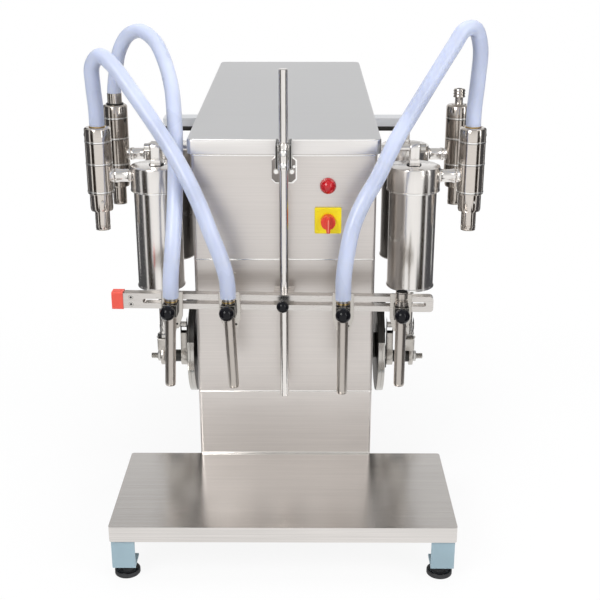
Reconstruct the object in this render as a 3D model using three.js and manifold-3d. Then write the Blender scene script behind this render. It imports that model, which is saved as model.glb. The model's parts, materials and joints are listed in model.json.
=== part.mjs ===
// Semi-automatic four-head piston filling machine, in millimetres, +Z up.
// X runs to the machine's right as seen from the front, Y runs from the front to the back.
// Inside this file Y is measured from the cabinet's front face and Z from the floor.
// The whole machine is moved along Y at the end, so that the origin is under the middle of its box.

import * as THREE from 'three';
import { mergeVertices } from 'three/addons/utils/BufferGeometryUtils.js';
import Module from 'manifold-3d';

const wasm = await Module();
wasm.setup();

// Clearances, and the overrun of every cutting tool past the face that it opens
const gap = 0.3;
const overrun = 2;

// Numbers of sides of the round pieces
const fineSides = 28;
const midSides = 18;
const smallSides = 10;
const ballRings = 8;
const hexSides = 6;
const cornerSteps = 2;

// Platform for the bottles
const platform = { halfWidth: 298.5, depth: 272, top: 104, skirt: 28.5, sheet: 2, cornerRadius: 5 };

// Base frame of flat bars on edge, with angle-steel legs
const frame = {
  clearance: 1, bar: 4, barInset: 0.6, height: 24, rearHeight: 22,
  leg: 40, legWall: 4, legBottom: 22, legDrop: 1,
};

// Levelling feet: pad, stud and lock nut
const foot = {
  padRadius: 22.5, padHeight: 8, shoulder: 5, neckRadius: 11, studRadius: 6, studTop: 48,
  nutRadius: 10, nutHeight: 6, inset: 22,
};

// Cabinet: three stacked shells of folded sheet; heights are above the platform
const cabinet = {
  width: 330, depth: 830, wall: 2, cornerRadius: 6,
  lowerHeight: 132, middleHeight: 394,
  flange: 14, flangeThickness: 3,
};

// Lid: a folded tray that rises towards the back and turns on two rear hinges
const lid = {
  overhang: 6.3, frontHeight: 615, slope: 2.24, sheet: 2, lip: 26, cornerRadius: 12, edgeRadius: 3,
};
const hinge = {
  spacing: 220, standOff: 15, radius: 6, pinRadius: 3, fixedLength: 30, movingLength: 15,
  drop: 8, web: 4, webRise: 16,
};

// Cylinders: two on each side, at the same distance from the middle plane
const cylinder = {
  outboard: 76, frontY: 110, spacing: 200,
  bottomHeight: 308.5, barrelLength: 216.2, radius: 44.5, wall: 2.5, ringHeight: 4, ringRadius: 45.5,
};
const cap = { radius: 49.5, seamHeight: 498, height: 47, topThickness: 8, chamberRadius: 38, edge: 3 };
const eye = { width: 17, depth: 26, pinHeight: 32, rearHeight: 29.5 };
const shaftHanger = { radius: 6, collarRadius: 8.5, collarWidth: 11, collarInset: 1.5 };
const beam = { width: 45, height: 25.2, wall: 3, overhang: 9, forward: 13 };

// Valve chambers beside the cylinders, joined to the caps by a cross pipe; the rear ones stand taller
const valve = {
  outboard: 107, topHeight: 616, rearRise: 10, bottomHeight: 458,
  radius: 24.5, footRadius: 21.5, footHeight: 34, topEdge: 3,
  spigotLength: 37, spigotRadius: 14, boreRadius: 9, chamferHeight: 4,
};
const crossPipe = { radius: 12, boreRadius: 7, belowCapTop: 20 };
const barb = {
  neckRadius: 8, boreRadius: 5.5, neckHeight: 15, headRadius: 12, headHeight: 17, tipRadius: 10.5, count: 3,
};

// Piston, piston rod and its jam nut
const piston = { clearance: 0.35, height: 30, lift: 6, grooveDepth: 2, grooveHeight: 8, landHeight: 11 };
const pistonRod = { radius: 8, seat: 17, nutRadius: 13, nutHeight: 8 };

// Crank drive: the pin is at the lowest point of its circle at rest
const crank = { height: 143, pinThrow: 25 };
const disc = { radius: 95, thickness: 14, wallClearance: 19, slotWidth: 18, slotDepth: 6.5, shaftSeat: 6 };
const driveShaft = { radius: 15 };
const bearing = { halfSize: 38, flange: 8, cornerRadius: 9.5, bossRadius: 27, wallClearance: 3 };
const adjuster = {
  keyHeight: 30, plateWidth: 34, plateHeight: 40, plateThickness: 8.4, screwClearance: 0.3,
};
const strokeScrew = {
  radius: 2.8, outward: 1, headRadius: 7, headHeight: 8, endMargin: 3,
  bracketHeight: 12, bracketOutward: 5, bracketSeat: 1,
};

// Connecting rods: an inner and an outer link on one stud and one cross pin
const link = {
  length: 70, thickness: 13, outerThickness: 8, shankWidth: 17,
  bigEndRadius: 19, smallEndRadius: 14, studRadius: 6, studLength: 21, nutRadius: 11, nutHeight: 7.5,
};
const crosshead = { width: 24, height: 24, endLength: 15, pinRadius: 6, linkGap: 1 };

// Gearbox with a hollow output shaft, motor, and the deck that carries them
const gearbox = {
  width: 120, depth: 130, height: 124, motorFlangeRadius: 62, motorFlange: 14, cornerRadius: 10,
};
const motor = {
  radius: 56, length: 190, cowlRadius: 58, cowlLength: 40, raise: 10,
  boxWidth: 60, boxLength: 70, boxHeight: 24,
};
const deck = { thickness: 3, front: 110, back: 540 };

// Vertical rod, its clamp bracket and the nozzle rail; the rail is turned a little about the rod
const rod = { radius: 8, standOff: 45, bottomHeight: 144, topHeight: 742, clearance: 0.3 };
const clampPlate = { width: 46, bottomHeight: 534, height: 51, thickness: 4, chamfer: 7 };
const clampSleeve = {
  width: 32, rise: 38, height: 45, front: 17, back: 37, innerWidth: 26,
  slotWidth: 3.5, slotEnd: 5, frontWall: 8,
  screwHeadRadius: 6.5, screwHeadHeight: 5, screwRise: 9, screwPitch: 21,
};
const rail = {
  turn: -2, left: -296, right: 265, height: 28, depth: 18, bottomHeight: 323, standOff: 12, endRadius: 6,
  slotHeight: 8, slotLeft: -251, slotRight: 252, slotFlat: 0.03, bossWidth: 36, bossBack: 20,
};
const endCap = { length: 20, wall: 1.6, overlap: 10, edge: 2 };

// Nozzle holders, tubes and ball knobs
const outerLeft = { along: -197.6, lean: 2.4, tipHeight: 184.5 };
const innerLeft = { along: -95.2, lean: -2.35, tipHeight: 183 };
const innerRight = { along: 106, lean: 0, tipHeight: 174 };
const outerRight = { along: 207.6, lean: 0, tipHeight: 191 };
const nozzlePlaces = [
  { name: 'outer_left', ...outerLeft, socket: false },
  { name: 'inner_left', ...innerLeft, socket: false },
  { name: 'inner_right', ...innerRight, socket: false },
  { name: 'outer_right', ...outerRight, socket: true },
];
// Rises and drops are from the middle of the rail's slot
const holder = {
  width: 38, plate: 5.7, topRise: 21, shoulderDrop: 25, footDrop: 49, footWidth: 24,
  blockWidth: 26, blockRise: 5, blockDrop: 17, blockFront: 66, knobDrop: 2,
  boltRadius: 3.6, backPlateWidth: 28, backPlateHeight: 24, backPlate: 5.7,
};
const nozzle = {
  axis: 51, radius: 9.5, boreRadius: 7, clearance: 0.3,
  collarRadius: 11, collarHeight: 10, neckRadius: 8, neckHeight: 3, rimRadius: 10.5, rimHeight: 13,
};
// A ball knob's screw is shown backed off the tube by a turn or two, so that the nozzle can be lifted
const ballKnob = {
  radius: 13.3, neckRadius: 6.5, neckLength: 6.2, screwRadius: 3.5, screwClearance: 0.3, screwBackOff: 2.5,
};
const railKnob = { radius: 11, neckLength: 9.7 };

// Pilot lamp and main switch on the upper cabinet's front
const lamp = {
  x: 78, belowLid: 84, bezelRadius: 14.5, bezel: 3, domeRadius: 13.6, bodyRadius: 11, bodyLength: 34,
};
const mainSwitch = {
  x: 78.5, belowLamp: 63, plate: 48, plateThickness: 4, neckRadius: 11, bodySize: 40, bodyLength: 46,
  knobRadius: 13, knobHeight: 17, handleLength: 29, handleWidth: 7, handleHeight: 12, handleDrop: 1.5,
};

// Delivery hoses
const hose = { radius: 14, halfSides: 5, steps: 26 };

// Driving heights and places that follow from the values above
const lowerTop = platform.top + cabinet.lowerHeight;
const middleTop = platform.top + cabinet.middleHeight;
const lidFrontTop = platform.top + lid.frontHeight;
const lampZ = lidFrontTop - lamp.belowLid;
const switchZ = lampZ - mainSwitch.belowLamp;
const cylinderBottom = platform.top + cylinder.bottomHeight;
const capBottom = platform.top + cap.seamHeight;
const capTop = capBottom + cap.height;
const hangerZ = capTop + eye.pinHeight;
const cylinderX = cabinet.width / 2 + cylinder.outboard;
const valveX = cylinderX + valve.outboard;
const frontValveTop = platform.top + valve.topHeight;
const valveTops = { front: frontValveTop, rear: frontValveTop + valve.rearRise };
const valveBottom = platform.top + valve.bottomHeight;
const crankZ = platform.top + crank.height;
const crankY = cylinder.frontY + cylinder.spacing / 2;
const studZ = crankZ - crank.pinThrow;
const crossPinZ = studZ + link.length;
const discInner = cabinet.width / 2 + disc.wallClearance;
const discOuter = discInner + disc.thickness;
const linkInner = discOuter + gap + adjuster.plateThickness + gap;
const frameTop = platform.top - platform.sheet - gap;
const cabinetFloor = platform.top - platform.sheet;
const frameHalfWidth = platform.halfWidth - platform.sheet - frame.clearance;
const frameFront = -(platform.depth - platform.sheet - frame.clearance);
const rearHalfWidth = cabinet.width / 2 - frame.clearance;
const rearEnd = cabinet.depth - frame.clearance;
const slopeAngle = THREE.MathUtils.degToRad(lid.slope);
const hingeY = cabinet.depth + hinge.standOff;
const lidBackTop = lidFrontTop + (cabinet.depth + 2 * lid.overhang) * Math.tan(slopeAngle);
const hingeZ = lidBackTop - lid.lip - hinge.drop;

const sides = [{ side: 'left', sign: -1 }, { side: 'right', sign: 1 }];
const rows = [{ row: 'front', y: cylinder.frontY }, { row: 'rear', y: cylinder.frontY + cylinder.spacing }];

// Materials
const metal = (color, roughness) => new THREE.MeshStandardMaterial({ color, roughness, metalness: 1 });
const plain = (color, roughness) => new THREE.MeshStandardMaterial({ color, roughness, metalness: 0 });
const brushed = metal(0xc9c7c2, 0.38);
const polished = metal(0xd9d8d4, 0.18);
const turnedSteel = metal(0xbdbab3, 0.3);
const darkSteel = metal(0x6b6a68, 0.45);
const paintedFrame = plain(0xa9bcc9, 0.5);
const gearPaint = plain(0x5f6d78, 0.5);
const blackPlastic = plain(0x111214, 0.25);
const blackRubber = plain(0x1a1a1a, 0.7);
const redPlastic = plain(0xd8322c, 0.4);
const redLens = plain(0xb3141a, 0.15);
const yellowPlastic = plain(0xe9b81a, 0.4);
const silicone = plain(0xc3cfdf, 0.35);

// Geometry helpers

function block([x0, x1], [y0, y1], [z0, z1]) {
  const box = new THREE.BoxGeometry(x1 - x0, y1 - y0, z1 - z0);
  return box.translate((x0 + x1) / 2, (y0 + y1) / 2, (z0 + z1) / 2);
}

function alongX(radius, [x0, x1], y, z, count = midSides) {
  const round = new THREE.CylinderGeometry(radius, radius, x1 - x0, count);
  return round.rotateZ(Math.PI / 2).translate((x0 + x1) / 2, y, z);
}

function alongY(radius, [y0, y1], x, z, count = midSides) {
  const round = new THREE.CylinderGeometry(radius, radius, y1 - y0, count);
  return round.translate(x, (y0 + y1) / 2, z);
}

function alongZ(radius, [z0, z1], x, y, count = midSides) {
  const round = new THREE.CylinderGeometry(radius, radius, z1 - z0, count);
  return round.rotateX(Math.PI / 2).translate(x, y, (z0 + z1) / 2);
}

// A profile of [radius, z] points turned about a vertical axis
function turned(profile, x, y, count = midSides) {
  const points = profile.map(([radius, z]) => new THREE.Vector2(radius, z));
  return new THREE.LatheGeometry(points, count).rotateX(Math.PI / 2).translate(x, y, 0);
}

// A rectangle centred on (x, y) with rounded corners
function roundedRectangle(width, depth, radius, x, y) {
  const [x0, x1, y0, y1] = [x - width / 2, x + width / 2, y - depth / 2, y + depth / 2];
  const outline = new THREE.Shape();
  outline.moveTo(x0 + radius, y0);
  outline.lineTo(x1 - radius, y0);
  outline.absarc(x1 - radius, y0 + radius, radius, -Math.PI / 2, 0);
  outline.lineTo(x1, y1 - radius);
  outline.absarc(x1 - radius, y1 - radius, radius, 0, Math.PI / 2);
  outline.lineTo(x0 + radius, y1);
  outline.absarc(x0 + radius, y1 - radius, radius, Math.PI / 2, Math.PI);
  outline.lineTo(x0, y0 + radius);
  outline.absarc(x0 + radius, y0 + radius, radius, Math.PI, 1.5 * Math.PI);
  return outline;
}

const polygon = (points) => new THREE.Shape(points.map(([a, b]) => new THREE.Vector2(a, b)));

function upward(outline, [z0, z1]) {
  const options = { depth: z1 - z0, bevelEnabled: false, curveSegments: cornerSteps };
  return new THREE.ExtrudeGeometry(outline, options).translate(0, 0, z0);
}

// An outline in X and Z, extruded from the back face y1 to the front face y0
function frontward(outline, [y0, y1]) {
  const options = { depth: y1 - y0, bevelEnabled: false, curveSegments: cornerSteps };
  return new THREE.ExtrudeGeometry(outline, options).rotateX(Math.PI / 2).translate(0, y1, 0);
}

// An outline in Y and Z, extruded from x0 to x1
function sideward(outline, [x0, x1]) {
  const options = { depth: x1 - x0, bevelEnabled: false, curveSegments: cornerSteps };
  const turn = new THREE.Matrix4().makeBasis(
    new THREE.Vector3(0, 1, 0), new THREE.Vector3(0, 0, 1), new THREE.Vector3(1, 0, 0));
  return new THREE.ExtrudeGeometry(outline, options).applyMatrix4(turn).translate(x0, 0, 0);
}

// A closed geometry as a solid that can be joined and cut
function solid(geometry) {
  if (geometry instanceof wasm.Manifold) return geometry;
  const bare = geometry.clone();
  bare.deleteAttribute('normal');
  bare.deleteAttribute('uv');
  const merged = mergeVertices(bare);
  const kept = [];
  const index = merged.index.array;
  for (let i = 0; i < index.length; i += 3) {
    const [a, b, c] = [index[i], index[i + 1], index[i + 2]];
    if (a !== b && b !== c && c !== a) kept.push(a, b, c);
  }
  return new wasm.Manifold(new wasm.Mesh({
    numProp: 3,
    vertProperties: new Float32Array(merged.attributes.position.array),
    triVerts: new Uint32Array(kept),
  }));
}

const join = (...pieces) => pieces.map(solid).reduce((sum, piece) => sum.add(piece));
const cut = (base, ...tools) => tools.map(solid).reduce((rest, tool) => rest.subtract(tool), solid(base));

function geometryOf(shape) {
  const mesh = shape.getMesh();
  const geometry = new THREE.BufferGeometry();
  geometry.setAttribute('position', new THREE.BufferAttribute(mesh.vertProperties, 3));
  geometry.setIndex(new THREE.BufferAttribute(mesh.triVerts, 1));
  geometry.computeVertexNormals();
  return geometry;
}

const machine = new THREE.Group();
const railGroup = new THREE.Group();

function place(name, shape, material, group = machine) {
  const geometry = shape instanceof THREE.BufferGeometry ? shape : geometryOf(shape);
  const mesh = new THREE.Mesh(geometry, material);
  mesh.name = name;
  group.add(mesh);
}

// Base frame: the platform's rectangle in front, the cabinet's rectangle behind, and four angle legs
function angleLeg(cornerX, cornerY, signX, signY) {
  const { leg, legWall, legBottom, legDrop } = frame;
  const span = (from, sign, length) => [from, from + sign * length].sort((a, b) => a - b);
  const [across, along] = [span(cornerX, signX, leg), span(cornerY, signY, leg)];
  const hollow = block(
    span(cornerX + signX * legWall, signX, leg), span(cornerY + signY * legWall, signY, leg),
    [legBottom + legWall, frameTop]);
  return cut(block(across, along, [legBottom, frameTop - legDrop]), hollow);
}

const footPlaces = sides.flatMap(({ side, sign }) => [
  { name: `front_${side}`, x: sign * (frameHalfWidth - foot.inset), y: frameFront + foot.inset },
  { name: `rear_${side}`, x: sign * (rearHalfWidth - foot.inset), y: rearEnd - foot.inset },
]);

// Flat bars welded into a closed frame inside a rectangle
function barFrame([x0, x1], [y0, y1], level) {
  const { bar } = frame;
  const outer = block([x0, x1], [y0, y1], level);
  const inner = block([x0 + bar, x1 - bar], [y0 + bar, y1 - bar], [level[0] - overrun, level[1] + overrun]);
  return cut(outer, inner);
}

function baseFrame() {
  const { height, rearHeight, bar, barInset } = frame;
  const level = [frameTop - height, frameTop];
  const rearLevel = [frameTop - rearHeight, frameTop];
  const [wide, narrow] = [frameHalfWidth - barInset, rearHalfWidth - barInset];
  const legs = sides.flatMap(({ sign }) => [
    angleLeg(sign * frameHalfWidth, frameFront, -sign, 1),
    angleLeg(sign * rearHalfWidth, rearEnd, -sign, -1),
  ]);
  const behindPlatform = block(
    [-cabinet.width, cabinet.width], [-bar / 2, cabinet.depth + bar], [0, platform.top]);
  const rearBars = barFrame([-narrow, narrow], [-2 * bar, rearEnd - barInset], rearLevel);
  const rear = rearBars.intersect(solid(behindPlatform));
  const frames = join(barFrame([-wide, wide], [frameFront + barInset, 0], level), rear, ...legs);
  const plateHole = [frame.legBottom - overrun, frame.legBottom + frame.legWall + overrun];
  const holes = footPlaces.map(({ x, y }) => alongZ(foot.studRadius + gap, plateHole, x, y, smallSides));
  return cut(frames, ...holes);
}

function levellingFoot(x, y) {
  const nutTop = frame.legBottom - gap;
  const profile = [
    [0, 0], [foot.padRadius, 0], [foot.padRadius, foot.padHeight],
    [foot.neckRadius, foot.padHeight + foot.shoulder], [0, foot.padHeight + foot.shoulder],
  ];
  return join(
    turned(profile, x, y, midSides),
    alongZ(foot.studRadius, [foot.padHeight, foot.studTop], x, y, smallSides),
    alongZ(foot.nutRadius, [nutTop - foot.nutHeight, nutTop], x, y, hexSides),
  );
}

// Platform: a tray of folded sheet, open below and at the back
function platformPlate() {
  const { halfWidth, depth, top, skirt, sheet, cornerRadius } = platform;
  const middle = -depth / 2 - gap / 2;
  const outline = roundedRectangle(2 * halfWidth, depth - gap, cornerRadius, 0, middle);
  const inside = block(
    [-halfWidth + sheet, halfWidth - sheet], [-depth + sheet, overrun], [top - skirt - overrun, top - sheet]);
  return cut(upward(outline, [top - skirt, top]), inside);
}

// Cabinet shells
const cabinetMiddleY = cabinet.depth / 2;

function cabinetOutline(inset) {
  const radius = Math.max(cabinet.cornerRadius - inset, cabinet.cornerRadius / 2);
  return roundedRectangle(cabinet.width - 2 * inset, cabinet.depth - 2 * inset, radius, 0, cabinetMiddleY);
}

function cabinetShell(bottom, top) {
  const hollow = upward(cabinetOutline(cabinet.wall), [bottom - overrun, top + overrun]);
  return cut(upward(cabinetOutline(0), [bottom, top]), hollow);
}

function cabinetFlange(top) {
  const level = [top - cabinet.wall / 2 - cabinet.flangeThickness, top - cabinet.wall / 2];
  const hollow = upward(cabinetOutline(cabinet.flange), [level[0] - overrun, level[1] + overrun]);
  return cut(upward(cabinetOutline(cabinet.wall / 2), level), hollow);
}

// The drive shaft leaves the cabinet where the lower and the middle shell meet
const shaftOpening = () =>
  alongX(driveShaft.radius + bearing.wallClearance, [-cabinet.width, cabinet.width], crankY, crankZ);

function lowerCabinet() {
  const inner = cabinet.width / 2 - cabinet.wall / 2;
  const deckTop = crankZ - gearbox.height / 2 - gap;
  const shell = join(
    cabinetShell(cabinetFloor, lowerTop),
    upward(cabinetOutline(cabinet.wall / 2),
      [cabinetFloor + cabinet.wall / 2, cabinetFloor + cabinet.wall / 2 + cabinet.wall]),
    cabinetFlange(lowerTop),
    block([-inner, inner], [deck.front, deck.back], [deckTop - deck.thickness, deckTop]),
  );
  return cut(shell, shaftOpening());
}

const middleCabinet = () =>
  cut(join(cabinetShell(lowerTop + gap, middleTop), cabinetFlange(middleTop)), shaftOpening());

// The lid's underside as a plane that rises to the back, and all that lies above it
function aboveLidPlane(drop) {
  const length = cabinet.depth + cabinet.width;
  const half = cabinet.width;
  const slab = block([-half, half], [0, length], [-drop, cabinet.lowerHeight]);
  return slab.rotateX(slopeAngle).translate(0, -lid.overhang, lidFrontTop);
}

const beamY = cylinder.frontY + cylinder.spacing - beam.forward;
const beamBottom = capTop + eye.rearHeight + gap;
const beamHalfLength = cylinderX + beam.overhang;

function upperCabinet() {
  const shell = cut(cabinetShell(middleTop + gap, lidBackTop), aboveLidPlane(lid.sheet + gap));
  const front = [-overrun, cabinet.wall + overrun];
  const across = [-cabinet.width, cabinet.width];
  const beamHole = block(
    across,
    [beamY - gap, beamY + beam.width + gap],
    [beamBottom - gap, beamBottom + beam.height + gap]);
  const opened = cut(
    shell,
    alongX(shaftHanger.radius + gap, across, cylinder.frontY, hangerZ, midSides),
    beamHole,
    alongY(lamp.bodyRadius + gap, front, lamp.x, lampZ, midSides),
    alongY(mainSwitch.neckRadius + gap, front, mainSwitch.x, switchZ, midSides),
  );
  return join(opened, ...hingePlaces.map(fixedKnuckle));
}

// Hinges at the back: the fixed knuckle and pin stay with the cabinet, two knuckles with the lid
const hingePlaces = sides.map(({ sign }) => sign * hinge.spacing / 2);

function fixedKnuckle(x) {
  const half = hinge.fixedLength / 2;
  const pinHalf = half + hinge.movingLength;
  return join(
    alongX(hinge.radius, [x - half, x + half], hingeY, hingeZ, midSides),
    alongX(hinge.pinRadius, [x - pinHalf, x + pinHalf], hingeY, hingeZ, smallSides),
    block([x - half, x + half], [cabinet.depth - cabinet.wall / 2, hingeY], [hingeZ - hinge.web, hingeZ]),
  );
}

function lidKnuckles(x) {
  return sides.map(({ sign }) => {
    const from = x + sign * (hinge.fixedLength / 2 + gap);
    const to = x + sign * (hinge.fixedLength / 2 + hinge.movingLength);
    const width = [Math.min(from, to), Math.max(from, to)];
    const lipOuter = cabinet.depth + lid.overhang;
    const knuckle = join(
      alongX(hinge.radius, width, hingeY, hingeZ, midSides),
      block(width, [lipOuter - lid.sheet, hingeY], [hingeZ + hinge.pinRadius + gap, hingeZ + hinge.radius]),
      block(width, [lipOuter - lid.sheet, lipOuter],
        [hingeZ + hinge.pinRadius + gap, hingeZ + hinge.webRise]),
    );
    const bore = [width[0] - overrun, width[1] + overrun];
    return cut(knuckle, alongX(hinge.pinRadius + gap, bore, hingeY, hingeZ, smallSides));
  });
}

function lidTray() {
  const width = cabinet.width + 2 * lid.overhang;
  const depth = (cabinet.depth + 2 * lid.overhang) / Math.cos(slopeAngle);
  const { edgeRadius, sheet, lip, cornerRadius } = lid;
  const inset = roundedRectangle(
    width - 2 * edgeRadius, depth - 2 * edgeRadius, cornerRadius - edgeRadius, 0, depth / 2);
  const bevelled = new THREE.ExtrudeGeometry(inset, {
    depth: lip, curveSegments: cornerSteps,
    bevelSize: edgeRadius, bevelThickness: edgeRadius, bevelSegments: 2,
  }).translate(0, 0, -lip - edgeRadius);
  const below = block([-width, width], [-depth, 2 * depth], [-2 * lip, -lip]);
  const inside = roundedRectangle(
    width - 2 * sheet, depth - 2 * sheet, cornerRadius - sheet, 0, depth / 2);
  const tray = cut(bevelled, below, upward(inside, [-2 * lip, -sheet]));
  const flat = geometryOf(tray);
  return flat.rotateX(slopeAngle).translate(0, -lid.overhang, lidFrontTop);
}

const lidNode = () => join(lidTray(), ...hingePlaces.flatMap(lidKnuckles));

// Hanging of the cylinders: a round shaft for the front pair, a square tube for the rear pair
function hangerShaft() {
  const inner = cylinderX + eye.width / 2 + shaftHanger.collarInset;
  const outer = inner + shaftHanger.collarWidth;
  const collars = sides.map(({ sign }) => {
    const span = [Math.min(sign * inner, sign * outer), Math.max(sign * inner, sign * outer)];
    return alongX(shaftHanger.collarRadius, span, cylinder.frontY, hangerZ, midSides);
  });
  const rodEnd = (inner + outer) / 2;
  return join(alongX(shaftHanger.radius, [-rodEnd, rodEnd], cylinder.frontY, hangerZ, midSides), ...collars);
}

function rearHangerBeam() {
  const [y0, y1] = [beamY, beamY + beam.width];
  const [z0, z1] = [beamBottom, beamBottom + beam.height];
  const half = beamHalfLength;
  const hollow = block(
    [-half - overrun, half + overrun], [y0 + beam.wall, y1 - beam.wall], [z0 + beam.wall, z1 - beam.wall]);
  return cut(block([-half, half], [y0, y1], [z0, z1]), hollow);
}

// Cylinder barrel: an open tube with a rolled ring at its lower end
function barrel(x, y) {
  const { radius, wall, ringHeight, ringRadius, barrelLength } = cylinder;
  const [bottom, top] = [cylinderBottom, cylinderBottom + barrelLength];
  const profile = [
    [radius - wall, bottom], [ringRadius, bottom], [ringRadius, bottom + ringHeight],
    [radius, bottom + ringHeight], [radius, top], [radius - wall, top], [radius - wall, bottom],
  ];
  return solid(turned(profile, x, y, fineSides));
}

// Cylinder head: cap, hanging eye, cross pipe and valve chamber, welded together
function valveProfile(valveTop, bare) {
  const { radius, footRadius, footHeight, topEdge, spigotLength, spigotRadius, chamferHeight } = valve;
  const shoulder = valveBottom + footHeight;
  const spigotBottom = valveBottom - spigotLength;
  const profile = [
    [0, spigotBottom], [spigotRadius, spigotBottom], [spigotRadius, valveBottom],
    [footRadius, valveBottom + chamferHeight], [footRadius, shoulder], [radius, shoulder],
    [radius, valveTop - topEdge], [radius - topEdge, valveTop],
  ];
  if (bare) {
    profile.push([barb.neckRadius, valveTop], [barb.neckRadius, valveTop + barb.neckHeight]);
    const rise = barb.headHeight / barb.count;
    for (let i = 0; i < barb.count; i += 1) {
      const z = valveTop + barb.neckHeight + i * rise;
      profile.push([barb.headRadius, z], [barb.tipRadius, z + rise]);
    }
    profile.push([0, valveTop + barb.neckHeight + barb.headHeight]);
  } else {
    profile.push([0, valveTop]);
  }
  return profile;
}

function eyePost(x, y, row) {
  const half = eye.width / 2;
  const base = capTop - cap.edge;
  if (row === 'rear') {
    return block([x - half, x + half], [y - eye.depth / 2, y + eye.depth / 2], [base, beamBottom - gap]);
  }
  const post = join(
    block([x - half, x + half], [y - eye.depth / 2, y + eye.depth / 2], [base, hangerZ]),
    alongX(eye.depth / 2, [x - half, x + half], y, hangerZ, midSides),
  );
  return cut(post, alongX(shaftHanger.radius + gap, [x - half - overrun, x + half + overrun], y, hangerZ));
}

function cylinderHead(sign, row, y) {
  const x = sign * cylinderX;
  const vx = sign * valveX;
  const pipeZ = capTop - crossPipe.belowCapTop;
  const barrelTop = cylinderBottom + cylinder.barrelLength;
  const valveTop = valveTops[row];
  const bare = sign > 0 && row === 'rear';
  const capProfile = [
    [0, capBottom], [cap.radius, capBottom], [cap.radius, capTop - cap.edge],
    [cap.radius - cap.edge, capTop], [0, capTop],
  ];
  const pipeSpan = [Math.min(x, vx), Math.max(x, vx)];
  const body = join(
    turned(capProfile, x, y, fineSides),
    turned(valveProfile(valveTop, bare), vx, y, midSides),
    alongX(crossPipe.radius, pipeSpan, y, pipeZ, midSides),
    eyePost(x, y, row),
  );
  const chamberTop = capTop - cap.topThickness;
  const spigotBottom = valveBottom - valve.spigotLength - overrun;
  const outletTop = valveTop + barb.neckHeight + barb.headHeight + overrun;
  return cut(
    body,
    alongZ(cylinder.radius + gap, [capBottom - overrun, barrelTop + gap], x, y, fineSides),
    alongZ(cap.chamberRadius, [barrelTop, chamberTop], x, y, midSides),
    alongX(crossPipe.boreRadius, pipeSpan, y, pipeZ, smallSides),
    alongZ(valve.boreRadius, [spigotBottom, valveTop - cap.topThickness], vx, y, smallSides),
    alongZ(barb.boreRadius, [spigotBottom, outletTop], vx, y, smallSides),
  );
}

// Crank drive
function shaftBearing(sign) {
  const wall = sign * (cabinet.width / 2 + gap);
  const flangeEnd = wall + sign * bearing.flange;
  const bossEnd = sign * (discInner - gap);
  const span = (a, b) => [Math.min(a, b), Math.max(a, b)];
  const outline = roundedRectangle(
    2 * bearing.halfSize, 2 * bearing.halfSize, bearing.cornerRadius, crankY, crankZ);
  const body = join(
    sideward(outline, span(wall, flangeEnd)),
    alongX(bearing.bossRadius, span(wall, bossEnd), crankY, crankZ, midSides),
  );
  const bore = span(wall - sign * overrun, bossEnd + sign * overrun);
  return cut(body, alongX(driveShaft.radius + gap, bore, crankY, crankZ, midSides));
}

// A slotted disc; a small bracket closes the slot at the rim and holds the screw that sets the stroke
function crankDisc(sign) {
  const span = (a, b) => [Math.min(sign * a, sign * b), Math.max(sign * a, sign * b)];
  const { radius, slotWidth, slotDepth, shaftSeat } = disc;
  const { bracketHeight, bracketOutward, bracketSeat, headRadius, headHeight, endMargin } = strokeScrew;
  const reach = radius + overrun;
  const slotFloor = discOuter - slotDepth;
  const plate = cut(
    alongX(radius, span(discInner, discOuter), crankY, crankZ, fineSides),
    block(span(slotFloor, discOuter + overrun), [crankY - slotWidth / 2, crankY + slotWidth / 2],
      [crankZ - reach, crankZ + reach]),
    alongX(driveShaft.radius + gap, span(discInner - overrun, discInner + shaftSeat + gap),
      crankY, crankZ, midSides),
  );
  const bracketHalf = slotWidth / 2 + bracketSeat;
  const bracketTop = crankZ + radius + bracketSeat;
  const bracket = block(span(slotFloor - bracketSeat, discOuter + bracketOutward),
    [crankY - bracketHalf, crankY + bracketHalf], [bracketTop - bracketHeight, bracketTop]);
  const screwX = sign * (discOuter + strokeScrew.outward);
  const screwBottom = crankZ - radius + endMargin;
  return join(
    plate,
    bracket,
    alongZ(strokeScrew.radius, [screwBottom, bracketTop], screwX, crankY, smallSides),
    alongZ(headRadius, [bracketTop - bracketSeat, bracketTop + headHeight], screwX, crankY, hexSides),
  );
}

// The block that sets the stroke: a key in the disc's slot, a plate on its face and the adjusting screw
function strokeAdjuster(sign) {
  const span = (a, b) => [Math.min(sign * a, sign * b), Math.max(sign * a, sign * b)];
  const keyHalf = disc.slotWidth / 2 - gap;
  const slotFloor = discOuter - disc.slotDepth + gap;
  const plateInner = discOuter + gap;
  const plateOuter = plateInner + adjuster.plateThickness;
  const screwX = sign * (discOuter + strokeScrew.outward);
  const boreEnd = adjuster.plateHeight / 2 + overrun;
  const slidingBlock = join(
    block(span(slotFloor, plateOuter), [crankY - keyHalf, crankY + keyHalf],
      [studZ - adjuster.keyHeight / 2, studZ + adjuster.keyHeight / 2]),
    block(span(plateInner, plateOuter), [crankY - adjuster.plateWidth / 2, crankY + adjuster.plateWidth / 2],
      [studZ - adjuster.plateHeight / 2, studZ + adjuster.plateHeight / 2]),
  );
  return cut(slidingBlock, alongZ(strokeScrew.radius + adjuster.screwClearance,
    [studZ - boreEnd, studZ + boreEnd], screwX, crankY, smallSides));
}

// Stadium-like link outline in Y and Z: a large lower eye, a small upper eye and a shank between
function linkPlate(span) {
  const { bigEndRadius, smallEndRadius, shankWidth } = link;
  return join(
    alongX(bigEndRadius, span, crankY, studZ, midSides),
    alongX(smallEndRadius, span, crankY, crossPinZ, midSides),
    block(span, [crankY - shankWidth / 2, crankY + shankWidth / 2], [studZ, crossPinZ]),
  );
}

const outerLinkInner = cylinderX + crosshead.width / 2 + crosshead.linkGap;
const outerLinkOuter = outerLinkInner + link.outerThickness;

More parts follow.
